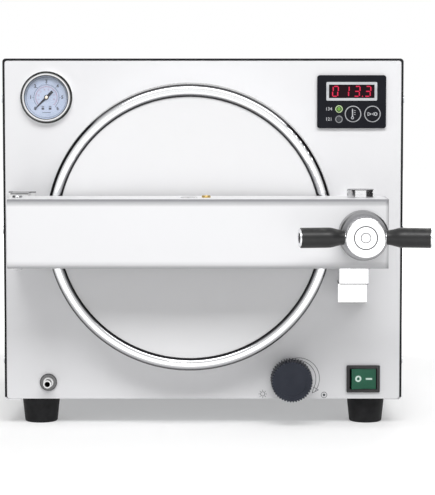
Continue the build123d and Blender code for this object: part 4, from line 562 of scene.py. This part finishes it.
nodeFinish = {
    "front_panel": caseEnamel, "wrap_cover": caseEnamel, "rear_panel": caseEnamel, "base_tray": zincPlate,
    "edge_trim": shadowGapTrimRubber, "rubber_feet": footRubber, "case_screws": zincPlate,
    "chamber_shell": chamberSteel, "chamber_flange": chamberSteel, "insulation_jacket": woolJacket,
    "chamber_cradle": zincPlate, "tray_rack": stainlessSheet, "instrument_trays": stainlessSheet,
    "heating_tube": stainlessSheet, "support_bars": zincPlate, "mounting_bolts": zincPlate,
    "hinge_bracket": bracketEnamel, "hinge_pin": machined, "hinge_washers": bearingNylon,
    "latch_keeper": keeperSteel, "gauge_case": zincPlate, "gauge_bezel": bezelChrome,
    "gauge_glass": gaugeGlass, "gauge_dial": dialPaint, "inner_pipes": copperTube,
    "control_fascia": fasciaFilm,
    "display_frame": frameSilver, "display_window": windowRed, "display_digits": digitRed,
    "indicator_lamps": lampDark, "control_board": boardFinish, "exhaust_valve_body": brassTurned,
    "drain_fitting": nippleChrome, "switch_housing": switchBlack, "power_inlet": inletPlastic,
    "fuse_holders": inletPlastic, "safety_valve_body": brassTurned, "cross_beam": beamEnamel,
    "lid_plate": lidSteel, "lid_gasket": gasketSilicone, "lid_rim": rimChrome, "lid_face": lidEnamel,
    "lid_boss": zincPlate, "lid_pivot_pin": trunnionChrome, "pivot_lock_screw": brassTurned,
    "trunnion": trunnionChrome, "thrust_collar": collarSteel, "handle_hub": hubChrome,
    "hub_washer": washerChrome, "handle_screw": clampThread, "handle_rods": machined,
    "handle_grips": gripPlastic, "grip_end_caps": capChrome, "exhaust_knob": knobPlastic,
    "valve_stem": machined, "power_rocker": rockerGreen, "temperature_button": buttonFilm,
    "start_button": buttonFilm, "gauge_needle": needleInk, "safety_valve_ring": stainlessSheet,
}
for nodeName, finish in nodeFinish.items():
    meshData = cadNodes[nodeName].data
    if not meshData.materials:
        meshData.materials.append(finish)
    for index in range(len(meshData.materials)):
        meshData.materials[index] = finish
missingFinish = sorted(set(cadNodes) - set(nodeFinish))
print("finishes assigned, without one:", missingFinish)
cadNodes["gauge_glass"].visible_shadow = False     # so the lamps reach the dial


def addObject(name, data):
    item = bpy.data.objects.new(name, data)
    bpy.context.scene.collection.objects.link(item)
    return item


def addMesh(name, shape, material):
    data = bpy.data.meshes.new(name)
    shape.to_mesh(data)
    shape.free()
    data.materials.append(material)
    return addObject(name, data)


def finishPiece(name, shape, material, body, smooth=False):
    bmesh.ops.recalc_face_normals(shape, faces=shape.faces)
    for face in shape.faces:
        face.smooth = smooth
    piece = addMesh(name, shape, material)
    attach(piece, body)
    return piece


def surfaceOf(nodeName):
    # a search tree of the node's faces, for laying print on it
    shape = bmesh.new()
    shape.from_mesh(cadNodes[nodeName].data)
    tree = BVHTree.FromBMesh(shape)
    shape.free()
    return tree


def turnVerts(shape, verts, angle, axis):
    bmesh.ops.rotate(shape, cent=(0, 0, 0), matrix=Matrix.Rotation(angle, 3, axis), verts=verts)


def standUp(shape, centre):
    # from the drawing plane (x, y) to the panel's plane (x, z)
    turnVerts(shape, shape.verts, math.radians(90), "X")
    bmesh.ops.translate(shape, vec=(centre[0], 0.0, centre[1]), verts=shape.verts)


def layOn(shape, tree, lift=0.00003, ink=0.00002):
    # drops flat print on the surface behind it and gives it the thickness of its ink
    for vert in shape.verts:
        hit = tree.ray_cast(Vector((vert.co.x, rayStart, vert.co.z)), Vector((0, 1, 0)))
        if hit[0] is not None:
            vert.co.y = hit[0].y - lift
    raised = bmesh.ops.extrude_face_region(shape, geom=shape.faces[:])
    verts = [item for item in raised["geom"] if isinstance(item, bmesh.types.BMVert)]
    bmesh.ops.translate(shape, vec=(0, -ink, 0), verts=verts)


def drawRing(shape, inner, outer, centre=(0.0, 0.0), steps=48):
    first = bmesh.ops.create_circle(shape, segments=steps, radius=inner, cap_ends=False)["verts"]
    second = bmesh.ops.create_circle(shape, segments=steps, radius=outer, cap_ends=False)["verts"]
    edges = set()
    for vert in first + second:
        edges.update(vert.link_edges)
    bmesh.ops.bridge_loops(shape, edges=list(edges))
    bmesh.ops.translate(shape, vec=(*centre, 0), verts=first + second)


def drawDisc(shape, radius, centre=(0.0, 0.0), steps=32):
    made = bmesh.ops.create_circle(shape, segments=steps, radius=radius, cap_ends=True)["verts"]
    bmesh.ops.translate(shape, vec=(*centre, 0), verts=made)


def drawBar(shape, width, height, centre=(0.0, 0.0), turn=0.0, pieces=1):
    made = bmesh.ops.create_grid(shape, x_segments=pieces, y_segments=1, size=0.5)["verts"]
    bmesh.ops.scale(shape, vec=(width, height, 1), verts=made)
    turnVerts(shape, made, turn, "Z")
    bmesh.ops.translate(shape, vec=(*centre, 0), verts=made)


def drawArc(shape, radius, width, start, end, centre=(0.0, 0.0), steps=40):
    # a band swept round its centre, from one angle to the other, in degrees
    first = shape.verts.new((radius - width / 2, 0, 0))
    second = shape.verts.new((radius + width / 2, 0, 0))
    edge = shape.edges.new((first, second))
    turnVerts(shape, [first, second], math.radians(start), "Z")
    before = set(shape.verts) - {first, second}
    bmesh.ops.spin(shape, geom=[first, second, edge], cent=(0, 0, 0), axis=(0, 0, 1),
                   angle=math.radians(end - start), steps=steps)
    bmesh.ops.translate(shape, vec=(*centre, 0), verts=list(set(shape.verts) - before))


def drawLine(shape, first, second, width):
    run = Vector(second) - Vector(first)
    drawBar(shape, run.length, width, (Vector(first) + Vector(second)) / 2, math.atan2(run.y, run.x))


def drawNumber(shape, words, size, centre, weight=0.025):
    # numbers from the built-in font, centred on their place
    curve = bpy.data.curves.new("number", "FONT")
    curve.body = words
    curve.size = size
    curve.align_x = "CENTER"
    curve.align_y = "CENTER"
    curve.resolution_u = 3
    curve.offset = size * weight
    holder = bpy.data.objects.new("number", curve)
    flat = bpy.data.meshes.new_from_object(holder)
    known = set(shape.verts)
    shape.from_mesh(flat)
    made = [vert for vert in shape.verts if vert not in known]
    bmesh.ops.translate(shape, vec=(*centre, 0), verts=made)
    bpy.data.objects.remove(holder)
    bpy.data.curves.remove(curve)
    bpy.data.meshes.remove(flat)


def printOn(name, shape, centre, nodeName, material, body):
    standUp(shape, centre)
    bmesh.ops.triangulate(shape, faces=shape.faces)
    layOn(shape, surfaceOf(nodeName))
    return finishPiece(name, shape, material, body)


inkDark = inkFinish("inkDark", (0.006, 0.008, 0.02), (0.015, 0.018, 0.035))
inkRed = inkFinish("inkRed", (0.2, 0.03, 0.045), (0.24, 0.08, 0.1))
inkGrey = inkFinish("inkGrey", (0.04, 0.04, 0.05), (0.09, 0.09, 0.1))
inkSilver = inkFinish("inkSilver", (0.5, 0.51, 0.53), (0.36, 0.37, 0.39), gloss=0.35)
inkMint = inkFinish("inkMint", (0.72, 0.88, 0.8), (0.5, 0.7, 0.6), gloss=0.35)


# lengths in metres, angles in degrees; a tick is its length and width
gauge = {"centre": gaugeCentre, "zero": 225.0, "sweep": 270.0, "edge": (0.0200, 0.0203)}
outerScale = {"radius": 0.0124, "line": 0.0003, "ticks": 60, "longTick": (0.0019, 0.00042),
              "middleTick": (0.0013, 0.00024), "shortTick": (0.0008, 0.00024), "numbers": 6,
              "numberRadius": 0.0158, "numberSize": 0.0046}
innerScale = {"radius": 0.0108, "line": 0.00026, "ticks": 45, "longTick": 0.0015, "shortTick": 0.0008,
              "numbers": 9, "numberRadius": 0.0078, "numberSize": 0.0021}
dialBlocks = {"side": 0.0036, "width": 0.0026, "block": (0.0022, -0.0112), "bar": (0.0007, -0.0090),
              "line": (0.0084, 0.0005, -0.0152)}


def dialAngle(step, steps):
    return math.radians(gauge["zero"] - gauge["sweep"] * step / steps)


def around(radius, angle):
    return radius * math.cos(angle), radius * math.sin(angle)


def printDial():
    dialEnd = gauge["zero"] - gauge["sweep"]
    dark = bmesh.new()
    drawArc(dark, outerScale["radius"], outerScale["line"], gauge["zero"], dialEnd, steps=90)
    for step in range(outerScale["ticks"] + 1):
        angle = dialAngle(step, outerScale["ticks"])
        kind = "longTick" if step % 10 == 0 else "middleTick" if step % 5 == 0 else "shortTick"
        length, width = outerScale[kind]
        drawBar(dark, length, width, around(outerScale["radius"] + length / 2, angle), angle)
    for step in range(outerScale["numbers"] + 1):
        spot = around(outerScale["numberRadius"], dialAngle(step, outerScale["numbers"]))
        drawNumber(dark, str(step), outerScale["numberSize"], spot, weight=0.04)
    for side in (-dialBlocks["side"], dialBlocks["side"]):
        for height, place in (dialBlocks["block"], dialBlocks["bar"]):
            drawBar(dark, dialBlocks["width"], height, (side, place))
    width, height, place = dialBlocks["line"]
    drawBar(dark, width, height, (0.0, place))
    printOn("dialScale", dark, gauge["centre"], "gauge_dial", inkDark, "case")
    red = bmesh.new()
    drawArc(red, innerScale["radius"], innerScale["line"], gauge["zero"], dialEnd, steps=90)
    for step in range(innerScale["ticks"] + 1):
        angle = dialAngle(step, innerScale["ticks"])
        length = innerScale["longTick" if step % 5 == 0 else "shortTick"]
        drawBar(red, length, innerScale["line"], around(innerScale["radius"] - length / 2, angle), angle)
    for step in range(1, innerScale["numbers"]):
        spot = around(innerScale["numberRadius"], dialAngle(step, innerScale["numbers"]))
        drawNumber(red, str(step), innerScale["numberSize"], spot)
    printOn("dialInnerScale", red, gauge["centre"], "gauge_dial", inkRed, "case")
    edge = bmesh.new()
    drawRing(edge, *gauge["edge"], steps=72)
    printOn("dialEdgeLine", edge, gauge["centre"], "gauge_dial", inkDark, "case")


def capNeedle():
    # the turned cap pressed on the spindle, over the needle
    cap = {"front": 0.0035, "profile": ((0.0, 0.00092), (0.0009, 0.00088), (0.0015, 0.0006),
                                        (0.0017, 0.0003), (0.0017, 0.0))}
    shape = bmesh.new()
    verts = [shape.verts.new((radius, 0, height)) for radius, height in cap["profile"]]
    edges = [shape.edges.new(pair) for pair in zip(verts, verts[1:])]
    bmesh.ops.spin(shape, geom=verts + edges, cent=(0, 0, 0), axis=(0, 0, 1), angle=2 * math.pi,
                   steps=28, use_merge=True)
    bmesh.ops.remove_doubles(shape, verts=shape.verts, dist=0.000001)
    standUp(shape, gauge["centre"])
    bmesh.ops.translate(shape, vec=(0, ahead(cap["front"]), 0), verts=shape.verts)
    finishPiece("needleCap", shape, capBrass, "needle", smooth=True)


capBrass = turnedFinish("capBrass", (0.83, 0.76, 0.62), (0.7, 0.6, 0.42), gaugeAxis, faceFront,
                        gloss=(0.2, 0.3))
printDial()
capNeedle()
print("gauge printed")


# places are x and z, rings their inner and outer radius
fascia = {"lampNumbers": ((0.1257, 0.3191, "134"), (0.1257, 0.3089, "121")), "numberSize": 0.0046,
          "buttons": ((0.1499, 0.31415), (0.1693, 0.31415)), "ring": (0.00735, 0.0082),
          "lamps": ((0.1359, 0.3191), (0.1359, 0.3089)), "lampRing": (0.0028, 0.0037)}
thermometer = {"x": -0.0006, "tube": (0.0011, 0.0074, 0.0010), "top": (0.00055, 0.0047),
               "bulb": (0.0008, 0.0015, -0.0038), "marks": 3, "mark": (0.0018, 0.00045),
               "markPlace": (0.0016, 0.0034), "markPitch": 0.0019}
valveMark = {"line": 0.0006, "bow": ((-0.0047, 0.0017), (-0.0047, -0.0017), (-0.0012, 0.0)),
             "fork": ((-0.0002, 0.0), (0.0012, 0.0012), (0.0012, -0.0012)), "ring": (0.0010, 0.0018),
             "ringPlace": (0.0031, 0.0)}
lamp = {"radius": 0.0019, "rise": 0.0005}


def printFascia():
    shape = bmesh.new()
    for x, z, words in fascia["lampNumbers"]:
        drawNumber(shape, words, fascia["numberSize"], (x, z), weight=0.012)
    for spot in fascia["buttons"]:
        drawRing(shape, *fascia["ring"], spot, steps=64)
    printOn("fasciaPrint", shape, (0.0, 0.0), "control_fascia", inkSilver, "case")
    # the ring round the lit lamp takes a green painted glow from the lamp; the other ring keeps the print's
    # grey
    lampRings = (("paintedGlowLampRing", lampRingPaintedGlow), ("darkLampRing", lampRingDark))
    for (name, ink), spot in zip(lampRings, fascia["lamps"]):
        ring = bmesh.new()
        drawRing(ring, *fascia["lampRing"], spot, steps=40)
        printOn(name, ring, (0.0, 0.0), "control_fascia", ink, "case")


def printButtons():
    x = thermometer["x"]
    shape = bmesh.new()
    width, height, place = thermometer["tube"]
    drawBar(shape, width, height, (x, place))
    radius, place = thermometer["top"]
    drawDisc(shape, radius, (x, place), 16)
    inner, outer, place = thermometer["bulb"]
    drawRing(shape, inner, outer, (x, place), 28)
    markX, markTop = thermometer["markPlace"]
    for step in range(thermometer["marks"]):
        drawBar(shape, *thermometer["mark"], (markX, markTop - thermometer["markPitch"] * step))
    printOn("temperatureMark", shape, fascia["buttons"][0], "temperature_button", inkSilver,
            "temperature_key")
    shape = bmesh.new()
    bow, (middle, upper, lower) = valveMark["bow"], valveMark["fork"]
    for first, second in (*zip(bow, bow[1:] + bow[:1]), (middle, upper), (middle, lower)):
        drawLine(shape, first, second, valveMark["line"])
    drawRing(shape, *valveMark["ring"], valveMark["ringPlace"], 28)
    printOn("startMark", shape, fascia["buttons"][1], "start_button", inkSilver, "start_key")


def lightLamp():
    # the lit lens of the upper lamp: a low dome over the moulded one
    shape = bmesh.new()
    bmesh.ops.create_uvsphere(shape, u_segments=28, v_segments=14, radius=lamp["radius"])
    bmesh.ops.bisect_plane(shape, geom=shape.verts[:] + shape.edges[:] + shape.faces[:],
                           plane_co=(0, 0, 0.0001), plane_no=(0, 0, 1), clear_inner=True)
    bmesh.ops.contextual_create(shape, geom=[edge for edge in shape.edges if edge.is_boundary])
    bmesh.ops.scale(shape, vec=(1, 1, lamp["rise"] / lamp["radius"]), verts=shape.verts)
    standUp(shape, fascia["lamps"][0])
    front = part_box("indicator_lamps")[0].y
    bmesh.ops.translate(shape, vec=(0, front, 0), verts=shape.verts)
    finishPiece("litLens", shape, lampLit, "case", smooth=True)


# green painted glow of the lit lamp on its printed ring
lampRingPaintedGlow = inkFinish("lampRingPaintedGlow", (0.5, 0.66, 0.34), (0.4, 0.55, 0.26))
lampRingDark = inkFinish("lampRingDark", (0.26, 0.265, 0.28), (0.18, 0.18, 0.2))
printFascia()
printButtons()
lightLamp()
print("fascia printed")


# an arc is x, z, radius, first and last angle; a ring its inner and outer radius
knobPrint = {"arcs": ((0.0965, 0.0473, 0.0210, 133.0, -38.0), (0.0946, 0.0468, 0.0193, 112.0, -28.0)),
             "line": 0.0005, "arrow": ((0.1117, 0.0383), (0.1166, 0.0358), (0.1103, 0.0325)),
             "opened": (0.0602, 0.0316), "openedRing": (0.0019, 0.0024), "rays": 8, "rayRadius": 0.0036,
             "ray": (0.0012, 0.00045), "closed": (0.1222, 0.0306), "closedRing": (0.0026, 0.0031),
             "closedDot": 0.0013}
switchPrint = {"ring": (0.0015, 0.0032), "ringPlace": (0.1566, 0.0473), "bar": (0.0064, 0.0018),
               "barPlace": (0.1675, 0.0470)}


def printArc():
    shape = bmesh.new()
    for x, z, radius, start, end in knobPrint["arcs"]:
        drawArc(shape, radius, knobPrint["line"], start, end, (x, z), 72)
    arrow = knobPrint["arrow"]
    for first, second in zip(arrow, arrow[1:] + arrow[:1]):
        drawLine(shape, first, second, knobPrint["line"])
    x, z = knobPrint["opened"]
    drawRing(shape, *knobPrint["openedRing"], (x, z), 40)
    for step in range(knobPrint["rays"]):
        angle = math.radians(360 / knobPrint["rays"] * step)
        away, up = around(knobPrint["rayRadius"], angle)
        drawBar(shape, *knobPrint["ray"], (x + away, z + up), angle)
    drawRing(shape, *knobPrint["closedRing"], knobPrint["closed"], 40)
    drawDisc(shape, knobPrint["closedDot"], knobPrint["closed"], 28)
    printOn("knobArc", shape, (0.0, 0.0), "front_panel", inkGrey, "case")


def printSwitch():
    off = bmesh.new()
    drawRing(off, *switchPrint["ring"], switchPrint["ringPlace"], 44)
    printOn("switchOffMark", off, (0.0, 0.0), "power_rocker", inkMint, "rocker")
    on = bmesh.new()
    drawBar(on, *switchPrint["bar"], switchPrint["barPlace"], pieces=6)
    printOn("switchOnMark", on, (0.0, 0.0), "power_rocker", inkMint, "rocker")


printArc()
printSwitch()
print("panel and switch printed")


# a lamp is its x, y, z, width, height and power
studio = {"worldFill": 0.36, "floorSize": 6.0, "floorTone": 0.8, "floorGlow": 0.27,
          "clearRadius": (0.42, 0.75), "aim": (0.0, 0.0, 0.2),
          "overhead": (0.0, -1.95, 1.95, 1.8, 0.9, 42.0), "key": (1.1, -1.7, 1.75, 0.6, 0.6, 7.0),
          "back": (0.3, 1.9, 1.5, 1.6, 1.2, 22.0)}
cards = {"leftCard": (-1.5, -0.35, 0.5), "rightCard": (1.5, -0.35, 0.5)}
cardSize = (2.5, 2.4)
camera = {"place": (0.0145, -2.295, 0.345), "down": 4.49, "sensor": 36.0, "focalPixels": 2094.75,
          "photoHeight": 495.0}


def addLamp(name, x, y, z, width, height, power):
    light = bpy.data.lights.new(name, "AREA")
    light.shape = "RECTANGLE"
    light.size = width
    light.size_y = height
    light.energy = power
    item = addObject(name, light)
    item.location = (x, y, z)
    direction = Vector(studio["aim"]) - item.location
    item.rotation_euler = direction.to_track_quat("-Z", "Y").to_euler()


def seenRays(tree, column, row):
    # 1 for rays that look at a surface: from the camera, in a reflection or through glass
    rays = addNode(tree, "ShaderNodeLightPath", (column, row)).outputs
    seen = mathStep(tree, "MAXIMUM", (column + 1, row), rays["Is Camera Ray"], rays["Is Glossy Ray"])
    return mathStep(tree, "MAXIMUM", (column + 2, row), seen, rays["Is Transmission Ray"])


def buildWorld():
    # white to look at, dimmer as a light
    world = bpy.data.worlds.new("studioWorld")
    world.use_nodes = True
    tree = world.node_tree
    background = tree.nodes["Background"]
    fill = addNode(tree, "ShaderNodeBackground", (0, -1))
    for node, strength in ((background, 1.0), (fill, studio["worldFill"])):
        node.inputs["Color"].default_value = (1.0, 1.0, 1.0, 1.0)
        node.inputs["Strength"].default_value = strength
    mix = addNode(tree, "ShaderNodeMixShader", (2, 1))
    join(tree, seenRays(tree, -3, 2), mix.inputs[0])
    join(tree, fill.outputs[0], mix.inputs[1])
    join(tree, background.outputs[0], mix.inputs[2])
    join(tree, mix.outputs[0], tree.nodes["World Output"].inputs["Surface"])
    bpy.context.scene.world = world


def buildFloor():
    # paper that takes the shadow near the object and glows to white further out
    shape = bmesh.new()
    bmesh.ops.create_grid(shape, x_segments=8, y_segments=8, size=studio["floorSize"])
    material = bpy.data.materials.new("floorPaper")
    material.use_nodes = True
    tree = material.node_tree
    tree.nodes.remove(tree.nodes["Principled BSDF"])
    place = addNode(tree, "ShaderNodeTexCoord", (-5, 0))
    away = addNode(tree, "ShaderNodeVectorMath", (-4, 0), operation="LENGTH")
    join(tree, place.outputs["Object"], away.inputs[0])
    near, far = studio["clearRadius"]
    clear = rangeOf(tree, (-3, 0), away.outputs["Value"], near, far, studio["floorGlow"], 1.0)
    glow = mathStep(tree, "MULTIPLY", (-2, 1), clear, seenRays(tree, -5, 2))
    paper = addNode(tree, "ShaderNodeBsdfDiffuse", (-1, 0))
    paper.inputs["Color"].default_value = (*(studio["floorTone"],) * 3, 1.0)
    white = addNode(tree, "ShaderNodeEmission", (-1, -1))
    join(tree, glow, white.inputs["Strength"])
    total = addNode(tree, "ShaderNodeAddShader", (1, 0))
    join(tree, paper.outputs[0], total.inputs[0])
    join(tree, white.outputs[0], total.inputs[1])
    join(tree, total.outputs[0], tree.nodes["Material Output"].inputs["Surface"])
    addMesh("studioFloor", shape, material)


def buildCards():
    # dark cards beside the camera's view, seen only in chrome and gloss
    material = bpy.data.materials.new("cardBlack")
    material.use_nodes = True
    inputs = material.node_tree.nodes["Principled BSDF"].inputs
    inputs["Base Color"].default_value = (0.012, 0.012, 0.013, 1.0)
    inputs["Roughness"].default_value = 0.9
    for name, centre in cards.items():
        shape = bmesh.new()
        bmesh.ops.create_grid(shape, x_segments=1, y_segments=1, size=0.5)
        bmesh.ops.scale(shape, vec=(*cardSize, 1), verts=shape.verts)
        turnVerts(shape, shape.verts, math.radians(90), "X")
        turnVerts(shape, shape.verts, math.radians(90), "Z")
        bmesh.ops.translate(shape, vec=centre, verts=shape.verts)
        card = addMesh(name, shape, material)
        card.visible_camera = False
        card.visible_diffuse = False
        card.visible_shadow = False
        card.visible_transmission = False


def buildCamera():
    data = bpy.data.cameras.new("photoCamera")
    data.sensor_width = camera["sensor"]
    data.lens = camera["sensor"] * camera["focalPixels"] / camera["photoHeight"]
    data.clip_start = 0.05
    data.clip_end = 50.0
    item = addObject("photoCamera", data)
    item.location = camera["place"]
    item.rotation_euler = (math.radians(90.0 - camera["down"]), 0.0, 0.0)
    bpy.context.scene.camera = item


buildWorld()
buildFloor()
buildCards()
for lampName in ("overhead", "key", "back"):
    addLamp(lampName, *studio[lampName])
buildCamera()
bpy.context.scene.view_settings.view_transform = "Standard"
print("studio ready")
